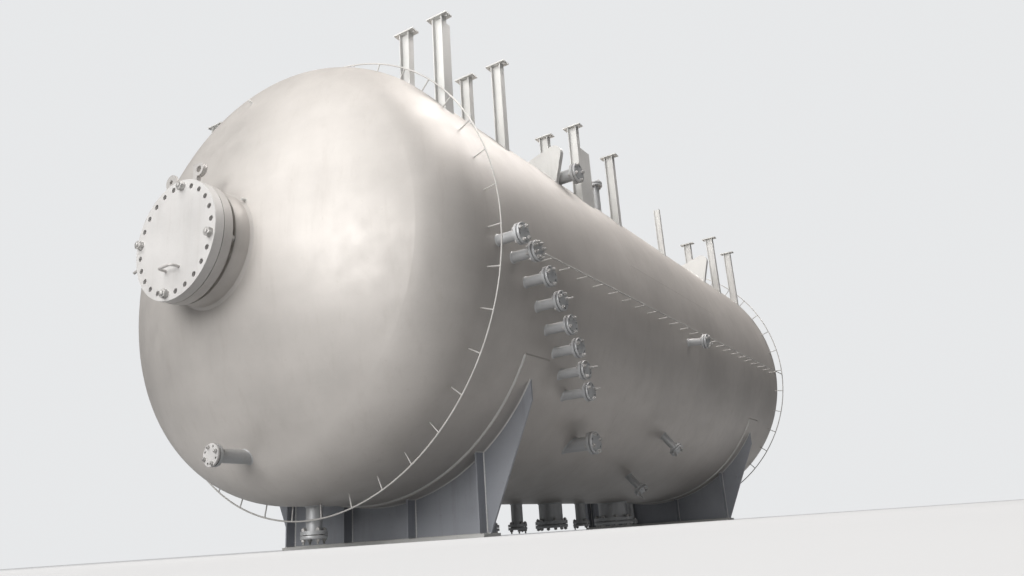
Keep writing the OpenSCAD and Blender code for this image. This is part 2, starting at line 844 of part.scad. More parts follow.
outer_xs = [post_x1, post_x2, post_x3, post_x4, body_len - post_x2, body_len - post_x1];
inner_xs = [post_x1, post_x2, post_x3, body_len - post_x2];

module post_rows(s) {
    for (x = outer_xs) post(x, s * post_outer_y, post_w, post_d, post_top - cap_t);
    for (x = inner_xs) post(x, s * post_inner_y, post_w, post_d, post_top - cap_t);
    post(low_post_x, s * post_outer_y, low_post_w, low_post_d, R - low_post_drop);
    post_plate(post_x1, s, first_plate_len, first_plate_drop);
    post_plate(post_x3, s, third_plate_len, third_plate_drop);
}

module cap_plate(x, y) {
    along(x) translate([0, y, post_top - cap_t]) difference() {
        translate([-cap_w / 2, -cap_len / 2, 0]) cube([cap_w, cap_len, cap_t]);
        for (s = [-1, 1]) translate([0, s * cap_pitch / 2, -over]) cylinder(d = cap_hole, h = cap_t + 2 * over);
    }
}

module near_posts() { color("silver") post_rows(-1); }
module far_posts() { color("silver") post_rows(1); }
module post_caps() {
    color("silver") for (s = [-1, 1]) {
        for (x = outer_xs) cap_plate(x, s * post_outer_y);
        for (x = inner_xs) cap_plate(x, s * post_inner_y);
    }
}

// lifting lug: tapered plate with a round tip, standing across the tank
module lug_plate(x, s) {
    c = cos(lug_slant);
    n = sin(lug_slant);
    foot = lug_h * n / c + lug_tip_r / c;
    on_body() along(x) rotate([s * (90 - lug_angle), 0, 0])
        translate([-lug_t / 2, 0, R]) rotate([90, 0, 90]) linear_extrude(lug_t) union() {
            translate([0, lug_h]) circle(r = lug_tip_r);
            polygon([[-foot, 0], [-foot, -2 * sink], [foot, -2 * sink], [foot, 0],
                [lug_tip_r * c, lug_h + lug_tip_r * n], [-lug_tip_r * c, lug_h + lug_tip_r * n]]);
        }
}

module lifting_lugs() {
    color("silver") for (x = [lug_front_x, lug_rear_x]) for (s = [-1, 1]) lug_plate(x, -s);
}

// curved wear plate between the body and the saddle
module wear_plate_at(x) {
    a = 90 - wear_end;
    far = 3 * R;
    along(x) translate([-wear_w / 2, 0, 0]) intersection() {
        difference() {
            round_x(wear_r, wear_w);
            translate([-over, 0, 0]) round_x(R + seat / 2, wear_w + 2 * over);
        }
        rotate([90, 0, 90]) linear_extrude(wear_w)
            polygon([[0, 0], [-far * sin(a), -far * cos(a)], [-far, -far], [far, -far],
                [far * sin(a), -far * cos(a)]]);
    }
}

// web of a saddle, across the tank, with slanted outer edges
module web_at(x) {
    hy = wear_r * cos(horn_end);
    hz = -wear_r * sin(horn_end);
    low = base_t - axis_height;
    half = base_len / 2 - web_inset;
    along(x) translate([-web_t / 2, 0, 0]) difference() {
        rotate([90, 0, 90]) linear_extrude(web_t)
            polygon([[-half, low], [-hy, hz - horn_edge], [-hy, hz], [0, hz], [hy, hz],
                [hy, hz - horn_edge], [half, low]]);
        translate([-over, 0, 0]) round_x(wear_r + seat / 2, web_t + 2 * over);
    }
}

// ribs on both faces of the web
module ribs_at(x) {
    depth = (base_w - web_t) / 2 - rib_inset;
    for (y = [-rib_outer_y, -rib_inner_y, rib_inner_y, rib_outer_y]) for (s = [0, 1])
        difference() {
            along(x) mirror([s, 0, 0]) translate([web_t / 2, y - rib_t / 2, base_t - axis_height])
                cube([depth, rib_t, axis_height - base_t - sqrt(pow(wear_r, 2) - pow(abs(y) + rib_t, 2)) + sink]);
            translate([front_x - over, 0, axis_height]) round_x(wear_r + seat / 2, body_len + 2 * over);
        }
}

module base_at(x) {
    along(x) translate([-base_w / 2, -base_len / 2, -axis_height]) difference() {
        cube([base_w, base_len, base_t]);
        for (sx = [-1, 1]) for (sy = [-1, 1])
            translate([base_w / 2 + sx * anchor_x / 2, base_len / 2 + sy * anchor_y / 2, -over])
                cylinder(d = anchor_d, h = base_t + 2 * over);
    }
}

// round earthing boss on the front face of the rear web
module earthing_boss() {
    along(body_len - saddle_inset - web_t / 2 - seat - boss_len)
        translate([0, -boss_side, boss_height - axis_height]) round_x(boss_d / 2, boss_len);
}

module front_wear_plate() { color("lightgray") wear_plate_at(saddle_inset); }
module front_web() { color("lightgray") web_at(saddle_inset); }
module front_ribs() { color("lightgray") ribs_at(saddle_inset); }
module front_base() { color("lightgray") base_at(saddle_inset); }
module rear_wear_plate() { color("lightgray") wear_plate_at(body_len - saddle_inset); }
module rear_web() {
    color("lightgray") {
        web_at(body_len - saddle_inset);
        earthing_boss();
    }
}
module rear_ribs() { color("lightgray") ribs_at(body_len - saddle_inset); }
module rear_base() { color("lightgray") base_at(body_len - saddle_inset); }

shell();
front_head();
rear_head();
manway_neck();
manway_flange();
manway_gasket();
manway_cover();
manway_handle();
manway_rim_lug();
manway_arm_eye();
front_ring();
rear_ring();
front_ring_clips();
rear_ring_clips();
near_side_bar();
far_side_bar();
near_bar_clips();
far_bar_clips();
level_branches();
level_covers();
level_studs();
side_branches();
side_covers();
lower_branch();
lower_cover();
head_branch();
head_branch_cover();
bottom_branches();
bottom_covers();
middle_outlet();
middle_cover();
large_outlet();
large_cover();
joint_gaskets();
near_posts();
far_posts();
post_caps();
lifting_lugs();
front_wear_plate();
front_web();
front_ribs();
front_base();
rear_wear_plate();
rear_web();
rear_ribs();
rear_base();
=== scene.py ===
import bpy
import json
import math
import random
from collections import namedtuple
from mathutils import Matrix, Vector
from mathutils.geometry import tessellate_polygon


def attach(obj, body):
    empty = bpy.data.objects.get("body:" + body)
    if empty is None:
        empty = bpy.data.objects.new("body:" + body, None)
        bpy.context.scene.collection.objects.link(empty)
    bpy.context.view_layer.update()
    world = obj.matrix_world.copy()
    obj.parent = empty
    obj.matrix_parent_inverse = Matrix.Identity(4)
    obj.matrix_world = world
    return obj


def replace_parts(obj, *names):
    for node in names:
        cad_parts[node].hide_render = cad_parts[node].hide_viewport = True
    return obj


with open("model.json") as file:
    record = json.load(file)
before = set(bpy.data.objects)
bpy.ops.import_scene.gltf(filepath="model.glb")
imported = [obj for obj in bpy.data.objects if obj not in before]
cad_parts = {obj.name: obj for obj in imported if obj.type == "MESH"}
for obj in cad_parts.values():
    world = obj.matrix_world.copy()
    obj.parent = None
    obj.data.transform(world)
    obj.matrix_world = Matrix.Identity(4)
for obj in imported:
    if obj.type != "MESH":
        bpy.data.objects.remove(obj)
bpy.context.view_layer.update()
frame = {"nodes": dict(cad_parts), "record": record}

# Everything below is written in millimetres in the tank's own frame: x from the front end line,
# y and z from the centre line. The model frame is metres, with the floor at zero.
MM = 0.001
X, Y, Z = Vector((1, 0, 0)), Vector((0, 1, 0)), Vector((0, 0, 1))

# The round body and its domed ends
BODY_R = 1867.0
BODY_LEN = 8000.0
FLOOR_GAP = 323.0
KNUCKLE_R = 575.0
CROWN_R = 2950.0
FRONT_X = -BODY_LEN / 2
AXIS_HEIGHT = BODY_R + FLOOR_GAP
CROWN_Y = -math.sqrt((CROWN_R - KNUCKLE_R) ** 2 - (BODY_R - KNUCKLE_R) ** 2)
TANGENT_R = (BODY_R - KNUCKLE_R) * CROWN_R / (CROWN_R - KNUCKLE_R)
DOME = CROWN_R + CROWN_Y

# Flanges with their covers, studs and nuts
Flange = namedtuple("Flange", "od thickness neck pitch holes stud nut_width nut_height")
FLANGES = {
    "small": Flange(165, 23, 84, 127, 8, 15.9, 27, 15.5),
    "head": Flange(165, 23, 104, 127, 8, 15.9, 27, 15.5),
    "medium": Flange(210, 29, 128, 168, 8, 19, 31.8, 18.7),
    "middle": Flange(381, 38, 278, 330, 12, 22.2, 36.5, 21.8),
    "large": Flange(521, 41, 380, 451, 16, 28.6, 46, 28),
    "manway": Flange(914, 70, 880, 813, 24, 38.1, 60.3, 37.3),
}
JOINT_GAP = 3.0
COARSE_PITCH, FINE_PITCH = 4.2, 2.6
COARSE_FROM = 25.0
# gap between a nut and its flange on the studs that the solids show too
SEAT = 0.2

# Row of level branches down the front of the near side
LEVEL_COUNT = 8
LEVEL_X, LEVEL_STEP = 165.0, 204.0
LEVEL_FIRST_DROP, LEVEL_SECOND_DROP, LEVEL_STEP_DOWN = 89.0, 170.0, 147.5
# how far a cover's face stands out from the body, on branches square to it
SMALL_OUT = 229.0

# The other branches: places, slopes, and how far their covers stand out
SIDE_X, SIDE_ANGLE = 4150.0, 6.2
SLANT_FEET = {"side2": 41.0, "side3": 60.4}
SLANT, SLANT_OUT = 50.5, 240.0
LOWER_X, LOWER_DROP, LOWER_OUT = 2225.0, 1419.0, 286.7
UPPER_X, UPPER_RISE, UPPER_OUT = 2141.0, 1287.0, 287.0
VENT_X, VENT_SIDE, VENT_OUT = 3360.0, 1250.0, 340.0
HEAD_DROP, HEAD_OUT = 1514.0, 314.4
BOTTOM_OUT = 275.0
MIDDLE_X, BOTTOM_STEP = 3877.0, 749.0
BOTTOM = {
    "bottom_front": ("medium", 133.0, 250.0),
    "bottom_second": ("medium", 2575.0, BOTTOM_OUT),
    "bottom_third": ("medium", MIDDLE_X - BOTTOM_STEP, BOTTOM_OUT),
    "bottom_fourth": ("medium", MIDDLE_X + BOTTOM_STEP, BOTTOM_OUT),
    "bottom_small": ("small", 6150.0, BOTTOM_OUT),
    "middle": ("middle", MIDDLE_X, BOTTOM_OUT),
    "large": ("large", 5567.0, BOTTOM_OUT),
}

# Bolted covers: edges and holes, and which branches each node's covers close
HOLE_ROOM = 3.2
RAISED = 2.2
RAISED_ROOM = 2.0
CHAMFER = 1.8
COVERS = {
    "level_covers": tuple("level%d" % (i + 1) for i in range(LEVEL_COUNT)),
    "side_covers": ("side1", "side2", "side3", "upper", "vent"),
    "lower_cover": ("lower",),
    "head_branch_cover": ("head",),
    "bottom_covers": ("bottom_second", "bottom_third", "bottom_fourth", "bottom_front", "bottom_small"),
    "middle_cover": ("middle",),
    "large_cover": ("large",),
}

# The studs that show in the photo: {branch: {hole: how far the stud stands out of its front nut}}
STUDS = {
    "level1": {1: 8, 3: 7, 5: 9, 7: 6},
    "level3": {1: 8, 3: 6, 6: 9},
    "level4": {1: 8, 0: 45, 3: 7, 5: 8},
    "level5": {1: 9, 4: 6, 6: 8},
    "level6": {1: 8, 3: 7, 6: 9},
    "level7": {2: 8, 0: 58, 5: 9, 3: 7},
    "level8": {0: 44, 6: 9, 3: 8},
    "side1": {1: 6, 7: 22, 6: 7, 3: 6},
    "side3": {0: 8, 2: 7, 4: 8, 6: 48},
    "vent": {1: 24, 3: 7, 5: 8, 7: 6},
    "bottom_front": {0: 22, 2: 21, 4: 20, 6: 22},
    "bottom_second": {0: 21, 3: 22, 5: 20, 6: 8},
    "bottom_third": {1: 22, 4: 20, 7: 21, 2: 8},
    "bottom_fourth": {0: 20, 5: 22, 2: 8, 6: 8},
}
# the branch whose studs are solids too, and how far those stand out of their nuts
STUDDED = "level2"
STUDDED_END = 17.9

# The manway: depths beyond the front end line, radii of its neck, its bolts and the pin on its rim
MANWAY = FLANGES["manway"]
MANWAY_GAP = 5.0
MANWAY_OUT = 290.83
MANWAY_JOINT = DOME + MANWAY_OUT - MANWAY.thickness - MANWAY_GAP
FLANGE_BACK = MANWAY_JOINT - MANWAY.thickness
MANWAY_BOLTED = (23, 5, 11, 17)
WASHER_R, WASHER_T = 44.0, 8.0
NECK_R, NECK_BORE, NECK_FOOT = MANWAY.neck / 2, 292.0, 2.0
NECK_POINTS = 240
GROOVE_WIDTH, GROOVE_R, GROOVE_EDGE = 38.5, 412.0, 1.0
RIM_PIN_X, RIM_PIN_ANGLE = -1225.0, math.radians(-14.7)
RIM_PIN_START, RIM_PIN_END, RIM_PIN_R, RIM_PIN_BEVEL = 450.0, 525.0, 11.0, 3.0

# Short round pins on the domed end: height and side of the foot, length, square to the dome or level
PINS = ((318.0, -343.0, 34.0, False), (1448.0, 56.0, 40.0, True))
PIN_R = 11.0

# Standoff rings and side bars with their clips
RING_R = BODY_R + 113.0
RING_INSET = 38.0
RING_X = (RING_INSET, BODY_LEN - RING_INSET)
RING_BAR = 13.0
CLIP_BAR = 11.0
CLIP_POINTS = 12
CLIP_ANGLE, CLIP_START = 9.36, 2.8
CLIPS = 38
BAR_DROP = 90.0
BAR_START = 440.0
BAR_CLIP_FIRST, BAR_CLIP_STEP = 42.0, 311.0
BAR_CLIPS = 24

# Platform posts, and the flat plates behind two of them: x and length
POST_W, POST_D, POST_FLANGE, POST_WEB = 68.0, 102.0, 7.5, 5.0
POST_OUTER, POST_INNER = 1445.0, 1085.0
POST_INSETS = (112.0, 1000.0)
MIDDLE_POSTS = (2500.0, 3410.0)
REAR_POSTS = tuple(BODY_LEN - inset for inset in reversed(POST_INSETS))
OUTER_X = POST_INSETS + MIDDLE_POSTS + REAR_POSTS
INNER_X = POST_INSETS + MIDDLE_POSTS[:1] + REAR_POSTS[:1]
LOW_POST_X, LOW_POST_W, LOW_POST_D = 4805.0, 44.0, 76.0
SIDE_PLATES = ((POST_INSETS[0], 46.0), (MIDDLE_POSTS[0], 205.0))
SIDE_PLATE_T = 11.0
SIDE_PLATE_GAP = 0.2

# Lifting lugs
LUG_X = (2000.0, 6430.0)
LUG_ANGLE = math.radians(46)
LUG_T = 56.0
LUG_FOOT = 222.0

# Saddles: wear plate, web, ribs and base plate
WEAR_R = BODY_R + 16.0
WEAR_WIDTH = 376.0
WEAR_END = math.radians(26.5)
HORN_END = math.radians(32)
BASE_LEN, BASE_WIDTH, BASE_T = 2282.0, 236.0, 25.0
BASE_TOP = BASE_T - AXIS_HEIGHT
WEB_T, WEB_INSET = 20.0, 8.0
WEB_FOOT = BASE_LEN / 2 - WEB_INSET
RIB_T, RIB_INSET = 16.0, 2.0
RIB_DEPTH = (BASE_WIDTH - WEB_T) / 2 - RIB_INSET
RIB_SIDES = (-1093.0, -365.0, 365.0, 1093.0)
SADDLE_INSET = 945.0
SADDLE_X = (SADDLE_INSET, BODY_LEN - SADDLE_INSET)

# Legs of the weld fillets
BRANCH_LEG, WIDE_BRANCH_LEG, WIDE_NECK = 7.0, 10.0, 60.0
MANWAY_LEG = 20.0
POST_LEG = 5.0
LUG_LEG = 13.0
WEAR_LEG, WEB_LEG, RIB_LEG, RIB_END_LEG = 12.0, 8.0, 7.0, 6.0
CLIP_LEG = 2.5
PIN_LEG = 4.0

# Butt welds of the body: where its courses meet, and how high each course's own seam lies
SEAM_X = (2760.0, 5380.0)
COURSE_HEIGHTS = (1180.0, 400.0, 1180.0)
SEAM_STOP, SEAM_END = 15.0, 20.0
SEAM_STEP = 14.0
GIRTH_WIDTH, COURSE_WIDTH, SEAM_HEIGHT = 20.0, 18.0, 0.6

# Spacing of the rows of points along the welds, and points round the small round shapes
BRANCH_SPACING, PIN_SPACING, CLIP_SPACING = 4.5, 3.0, 3.0
NECK_SPACING, POST_SPACING, LUG_SPACING = 9.0, 9.0, 7.0
COVER_POINTS, HOLE_POINTS = 72, 16
NUT_POINTS, STUD_POINTS, WASHER_POINTS, PIN_POINTS = 24, 14, 32, 20

# Search for a surface: coarse step, most steps, halvings, and where it starts, clear outside
HIT_STEP, HIT_STEPS, HIT_HALVINGS = 6.0, 400, 18
NECK_SEARCH, PIN_SEARCH = -1100.0, -1050.0
POST_SEARCH, LUG_SEARCH = 2100.0, 2300.0
CLIP_SEARCH, PIN_ROOM = 40.0, 80.0

# Camera of the photograph, in metres and radians, image 1024 by 576
CAMERA_PLACE = Vector((-8.40464, -4.76054, 0.008))
CAMERA_YAW = 0.55051
CAMERA_PITCH = 0.30663
CAMERA_ROLL = -0.06845
FOCAL_PIXELS = 775.816
IMAGE_WIDTH = 1024
SENSOR_MM = 36.0

# edges sharper than this show as edges on a smooth piece
SHARP = math.radians(46)

rng = random.Random(7)


# Surfaces of the tank

def surf(d):
    """Half width of the body at height or depth d from the centre line."""
    return math.sqrt(BODY_R ** 2 - d * d)


def dome_depth(r):
    """Depth of a domed end beyond its end line, at radius r."""
    if r < TANGENT_R:
        return CROWN_Y + math.sqrt(CROWN_R ** 2 - r * r)
    return math.sqrt(max(KNUCKLE_R ** 2 - (r - BODY_R + KNUCKLE_R) ** 2, 0))


def in_body(p):
    return math.hypot(p.y, p.z) < BODY_R


def body_normal(p):
    return Vector((0, p.y, p.z)).normalized()


def in_dome(p):
    return -p.x < dome_depth(min(math.hypot(p.y, p.z), BODY_R))


def dome_normal(p):
    r = math.hypot(p.y, p.z)
    slope = dome_depth(r + 0.5) - dome_depth(r - 0.5)
    return Vector((-1, -slope * p.y / r, -slope * p.z / r)).normalized()


SURFACES = {"body": (in_body, body_normal), "dome": (in_dome, dome_normal)}


def hit(start, way, inside):
    """First point of a surface on the line from start: coarse steps, then halving."""
    p = start.copy()
    for _ in range(HIT_STEPS):
        if inside(p):
            break
        p = p + way * HIT_STEP
    low, high = -HIT_STEP, 0.0
    for _ in range(HIT_HALVINGS):
        mid = (low + high) / 2
        if inside(p + way * mid):
            high = mid
        else:
            low = mid
    return p + way * high


# Pieces built by mesh code. A place is a frame: origin and three directions, the last pointing out.

class Shape:
    """Collects faces in the tank's frame and makes one visual piece of them."""

    def __init__(self):
        self.verts = []
        self.faces = []
        self.flat = []

    def rings(self, rings, closed=False, caps=True, flat=False):
        """Skins a row of closed rings with the same number of points."""
        base = len(self.verts)
        n = len(rings[0])
        for ring in rings:
            self.verts.extend(ring)
        rows = len(rings)
        for i in range(rows if closed else rows - 1):
            a = base + i * n
            b = base + (i + 1) % rows * n
            for j in range(n):
                k = (j + 1) % n
                self.faces.append((a + j, a + k, b + k, b + j))
                self.flat.append(flat)
        if caps and not closed:
            self.faces.append(tuple(base + j for j in reversed(range(n))))
            self.faces.append(tuple(base + (rows - 1) * n + j for j in range(n)))
            self.flat.extend((True, True))

    def pierced_face(self, loops, way):
        """A flat face inside the first loop, looking along way, with the other loops cut out."""
        points = [p for loop in loops for p in loop]
        base = len(self.verts)
        self.verts.extend(points)
        for a, b, c in tessellate_polygon(loops):
            if (points[b] - points[a]).cross(points[c] - points[a]).dot(way) < 0:
                b, c = c, b
            self.faces.append((base + a, base + b, base + c))
            self.flat.append(True)

    def build(self, name, material, slot_name):
        shift = Vector((FRONT_X, 0, AXIS_HEIGHT))
        mesh = bpy.data.meshes.new(name)
        mesh.from_pydata([(v + shift) * MM for v in self.verts], [], self.faces)
        mesh.polygons.foreach_set("use_smooth", [not f for f in self.flat])
        mesh.materials.append(material)
        mesh.update()
        mesh.validate()
        mesh.set_sharp_from_angle(angle=SHARP)
        piece = bpy.data.objects.new(name, mesh)
        bpy.context.scene.collection.objects.link(piece)
        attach(piece, "root")
        return piece


def circle(place, radius, z, n):
    """Points of a circle at height z of a place."""
    origin, ex, ey, ez = place
    turns = [2 * math.pi * i / n for i in range(n)]
    return [origin + ez * z + (ex * math.cos(t) + ey * math.sin(t)) * radius for t in turns]


def fillet(shape, path, leg, closed=True, bulge=0.16, embed=0.8, ripple=0.09):
    """A weld fillet along path: rows of (corner, way along one surface, way along the other)."""
    rings = []
    phase = rng.uniform(0, 6.28)
    for i, (p, u, v) in enumerate(path):
        size = leg * (1 + ripple * math.sin(i * 2.1 + phase) + rng.uniform(-0.05, 0.05))
        out = (u + v).normalized()
        ring = []
        for t in (0, 0.25, 0.5, 0.75, 1):
            q = p + (u * (1 - t) + v * t) * size + out * (size * bulge * math.sin(math.pi * t))
            ring.append(q)
        ring[0] = ring[0] - v * embed
        ring[4] = ring[4] - u * embed
        ring.append(p - out * embed)
        rings.append(ring)
    shape.rings(rings, closed=closed)


def seam(shape, path, width, height, closed=True, embed=1.2):
    """A flat butt weld along path: rows of (point on the surface, side, normal)."""
    rings = []
    for i, (p, side, up) in enumerate(path):
        w = width * (1 + rng.uniform(-0.06, 0.06)) / 2
        h = height * (1 + 0.22 * math.sin(i * 1.9) + rng.uniform(-0.12, 0.12))
        rings.append([
            p - side * w - up * embed, p - side * w * 0.62 + up * h * 0.8, p + up * h,
            p + side * w * 0.62 + up * h * 0.8, p + side * w - up * embed, p - up * embed * 2,
        ])
    shape.rings(rings, closed=closed)


def circle_outline(radius, spacing, least=24):
    """A round outline as rows of (a, b, normal a, normal b)."""
    n = max(least, int(2 * math.pi * radius / spacing))
    rows = []
    for i in range(n):
        t = 2 * math.pi * i / n
        rows.append((radius * math.cos(t), radius * math.sin(t), math.cos(t), math.sin(t)))
    return rows


def corner_outline(corners, spacing):
    """An outline with straight edges, corners given anticlockwise."""
    rows = []
    for i, (ax, ay) in enumerate(corners):
        bx, by = corners[(i + 1) % len(corners)]
        length = math.hypot(bx - ax, by - ay)
        na, nb = (by - ay) / length, (ax - bx) / length
        n = max(1, int(length / spacing))
        for k in range(n + 1):
            rows.append((ax + (bx - ax) * k / n, ay + (by - ay) * k / n, na, nb))
    return rows


def joint_path(place, outline, surface="body"):
    """Where a prism with this outline, standing out along the place's last way, meets a surface."""
    origin, ex, ey, ez = place
    inside, normal = SURFACES[surface]
    rows = []
    for a, b, na, nb in outline:
        p = hit(origin + ex * a + ey * b, -ez, inside)
        wall = ex * na + ey * nb
        up = normal(p)
        along = (wall - up * wall.dot(up)).normalized()
        rows.append((p, along, ez))
    return rows


def line_path(start, end, u, v, spacing=9.0):
    """A straight path between two surfaces that run along u and v."""
    n = max(2, int((end - start).length / spacing))
    return [(start.lerp(end, i / n), u, v) for i in range(n + 1)]


def arc_path(x, radius, start, end, side, spacing=10.0):
    """An arc about the centre line; one surface runs along side, the other outwards."""
    n = max(4, int(abs(end - start) * radius / spacing))
    rows = []
    for i in range(n + 1):
        t = start + (end - start) * i / n
        up = Vector((0, math.cos(t), math.sin(t)))
        rows.append((Vector((x, 0, 0)) + up * radius, side, up))
    return rows


# Branches

Branch = namedtuple("Branch", "kind place surface")


def level_place(x, face, z):
    """Place of a level branch on the near side, its joint face so far from the centre plane."""
    return Vector((x, -face, z)), X, Z, -Y


def slant_place(x, radius, foot, length, slope):
    """Place of a branch that leaves the given radius foot degrees below the level at its own slope."""
    a, b = math.radians(foot), math.radians(slope)
    start = Vector((x, -radius * math.cos(a), -radius * math.sin(a)))
    out = Vector((0, -math.cos(b), -math.sin(b)))
    return start + out * length, X, Vector((0, -math.sin(b), math.cos(b))), out


def cover_drop(kind):
    """Distance from a cover's face back to the joint face."""
    return FLANGES[kind].thickness + JOINT_GAP


def branch_rows():
    """Every branch by its tag: its kind of flange, the place of its joint face, its surface."""
    small, medium = cover_drop("small"), cover_drop("medium")
    small_reach = BODY_R + SMALL_OUT
    rows = {}
    for i in range(LEVEL_COUNT):
        drop = LEVEL_SECOND_DROP + LEVEL_STEP_DOWN * (i - 1) if i else LEVEL_FIRST_DROP
        face = math.sqrt(small_reach ** 2 - drop ** 2) - small
        place = level_place(LEVEL_X + LEVEL_STEP * i, face, -drop)
        rows["level%d" % (i + 1)] = Branch("small", place, "body")
    place = slant_place(SIDE_X, 0.0, SIDE_ANGLE, small_reach - small, SIDE_ANGLE)
    rows["side1"] = Branch("small", place, "body")
    for tag, foot in SLANT_FEET.items():
        place = slant_place(SIDE_X, BODY_R, foot, SLANT_OUT - small, SLANT)
        rows[tag] = Branch("small", place, "body")
    place = level_place(LOWER_X, surf(LOWER_DROP) + LOWER_OUT - medium, -LOWER_DROP)
    rows["lower"] = Branch("medium", place, "body")
    place = level_place(UPPER_X, surf(UPPER_RISE) + UPPER_OUT - medium, UPPER_RISE)
    rows["upper"] = Branch("medium", place, "body")
    top = Vector((VENT_X, -VENT_SIDE, surf(VENT_SIDE) + VENT_OUT - small))
    rows["vent"] = Branch("small", (top, X, Y, Z), "body")
    face = dome_depth(HEAD_DROP) + HEAD_OUT - cover_drop("head")
    rows["head"] = Branch("head", (Vector((-face, 0, -HEAD_DROP)), Z, Y, -X), "dome")
    for tag, (kind, x, out) in BOTTOM.items():
        foot = Vector((x, 0, cover_drop(kind) - BODY_R - out))
        rows[tag] = Branch(kind, (foot, X, -Y, -Z), "body")
    return rows


BRANCHES = branch_rows()


def hole_centre(place, flange, hole):
    """Middle of a bolt hole; the first lies half a step from the place's first way."""
    origin, ex, ey, ez = place
    angle = (hole + 0.5) * 2 * math.pi / flange.holes
    return origin + (ex * math.cos(angle) + ey * math.sin(angle)) * (flange.pitch / 2)


def blind_cover(shape, branch):
    """A bolted cover: chamfered rim, bolt holes and a raised joint face."""
    flange = FLANGES[branch.kind]
    place = branch.place
    ex, ey, up = place[1:]
    r, low, high = flange.od / 2, JOINT_GAP + RAISED, JOINT_GAP + flange.thickness
    hole_r = (flange.stud + HOLE_ROOM) / 2
    raised_r = flange.pitch / 2 - hole_r - RAISED_ROOM
    profile = ((r - CHAMFER, low), (r, low + CHAMFER), (r, high - CHAMFER), (r - CHAMFER, high))
    rim = [circle(place, a, z, COVER_POINTS) for a, z in profile]
    shape.rings(rim, caps=False)
    mouths = []
    for hole in range(flange.holes):
        centre = (hole_centre(place, flange, hole), ex, ey, up)
        ends = [circle(centre, hole_r, z, HOLE_POINTS) for z in (low, high)]
        shape.rings([ends[1], ends[0]], caps=False)
        mouths.append(ends)
    step = [circle(place, raised_r, z, COVER_POINTS) for z in (JOINT_GAP, low)]
    shape.pierced_face([rim[3]] + [m[1] for m in mouths], up)
    shape.pierced_face([rim[0], step[1]] + [m[0] for m in mouths], -up)
    shape.pierced_face([step[0]], -up)
    shape.rings(step, caps=False)


def make_covers(material):
    for node, tags in COVERS.items():
        shape = Shape()
        for tag in tags:
            blind_cover(shape, BRANCHES[tag])
        # the head branch's cover takes the paler cover paint, which is painted light
        own = OWN_AND_PAINTED_LIGHT_FINISHES.get(node, material)
        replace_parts(shape.build(node + "_raised", own, "branch_paint"), node)


# Studs, nuts and washers

def nut(shape, place, width, height, turn):
    """A heavy hexagon nut with chamfered corners, standing on its place."""
    origin, ex, ey, ez = place
    top = 0.475 * width
    low, shoulder, crown, bore = [], [], [], []
    for i in range(NUT_POINTS):
        t = 2 * math.pi * i / NUT_POINTS
        r = width / 2 / math.cos((t + math.pi / 6) % (math.pi / 3) - math.pi / 6)
        way = ex * math.cos(t + turn) + ey * math.sin(t + turn)
        drop = max(0.0, (r - top) * 0.6)
        low.append(origin + way * r)
        shoulder.append(origin + way * r + ez * (height - drop))
        crown.append(origin + way * top + ez * height)
        bore.append(origin + way * top * 0.62 + ez * (height - 0.6))
    shape.rings([low, shoulder, crown, bore], flat=True)


def stud(shape, place, length, radius, pitch, plain):
    """A threaded stud that starts at its place; between the two plain distances it is smooth."""
    bevel = radius * 0.28
    stations = [(0.0, radius * 0.72), (bevel, radius)]
    z = bevel
    while z < length - bevel - pitch:
        if plain[0] < z < plain[1]:
            stations.append((plain[0], radius))
            z = plain[1]
            stations.append((z, radius))
        z += pitch
        stations.append((z - pitch * 0.5, radius * 0.86))
        stations.append((z, radius))
    stations += [(length - bevel, radius), (length, radius * 0.72)]
    shape.rings([circle(place, r, z, STUD_POINTS) for z, r in stations])


def bolt(shape, place, kind, hole, front, back, seat=0.0):
    """A stud with a nut on each side of a flange joint. front and back are how far its ends stand
    out beyond the nuts."""
    flange = FLANGES[kind]
    ex, ey, ez = place[1:]
    gap = MANWAY_GAP if kind == "manway" else JOINT_GAP
    centre = hole_centre(place, flange, hole)
    top = centre + ez * (flange.thickness + gap + seat)
    low = centre - ez * (flange.thickness + seat)
    nut(shape, (top, ex, ey, ez), flange.nut_width, flange.nut_height, rng.uniform(0, 1))
    nut(shape, (low, ex, -ey, -ez), flange.nut_width, flange.nut_height, rng.uniform(0, 1))
    start = low - ez * (flange.nut_height + back)
    length = 2 * (flange.thickness + seat + flange.nut_height) + gap + back + front
    inner = flange.nut_height + back + 2
    plain = (inner, inner + 2 * flange.thickness + gap - 4)
    pitch = COARSE_PITCH if flange.stud > COARSE_FROM else FINE_PITCH
    stud(shape, (start, ex, ey, ez), length, flange.stud / 2, pitch, plain)


def washer(shape, place, radius, thickness):
    """A plain round disc standing on its place."""
    profile = ((0, radius), (thickness * 0.85, radius), (thickness, radius * 0.97))
    shape.rings([circle(place, r, z, WASHER_POINTS) for z, r in profile], flat=True)


def make_branch_bolts(material):
    shape = Shape()
    for tag, branch in BRANCHES.items():
        if tag == STUDDED:
            continue
        usual = {hole: rng.uniform(5, 9) for hole in range(0, FLANGES[branch.kind].holes, 2)}
        for hole, front in STUDS.get(tag, usual).items():
            bolt(shape, branch.place, branch.kind, hole, front, rng.uniform(5, 10))
    shape.build("branch_bolts", material, "branch_paint")


def make_level_studs(material):
    """The studs of the row's second branch, with threads and chamfered nuts."""
    shape = Shape()
    branch = BRANCHES[STUDDED]
    for hole in range(FLANGES[branch.kind].holes):
        bolt(shape, branch.place, branch.kind, hole, STUDDED_END, STUDDED_END, SEAT)
    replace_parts(shape.build("level_stud_threads", material, "branch_paint"), "level_studs")


# The manway and the pins

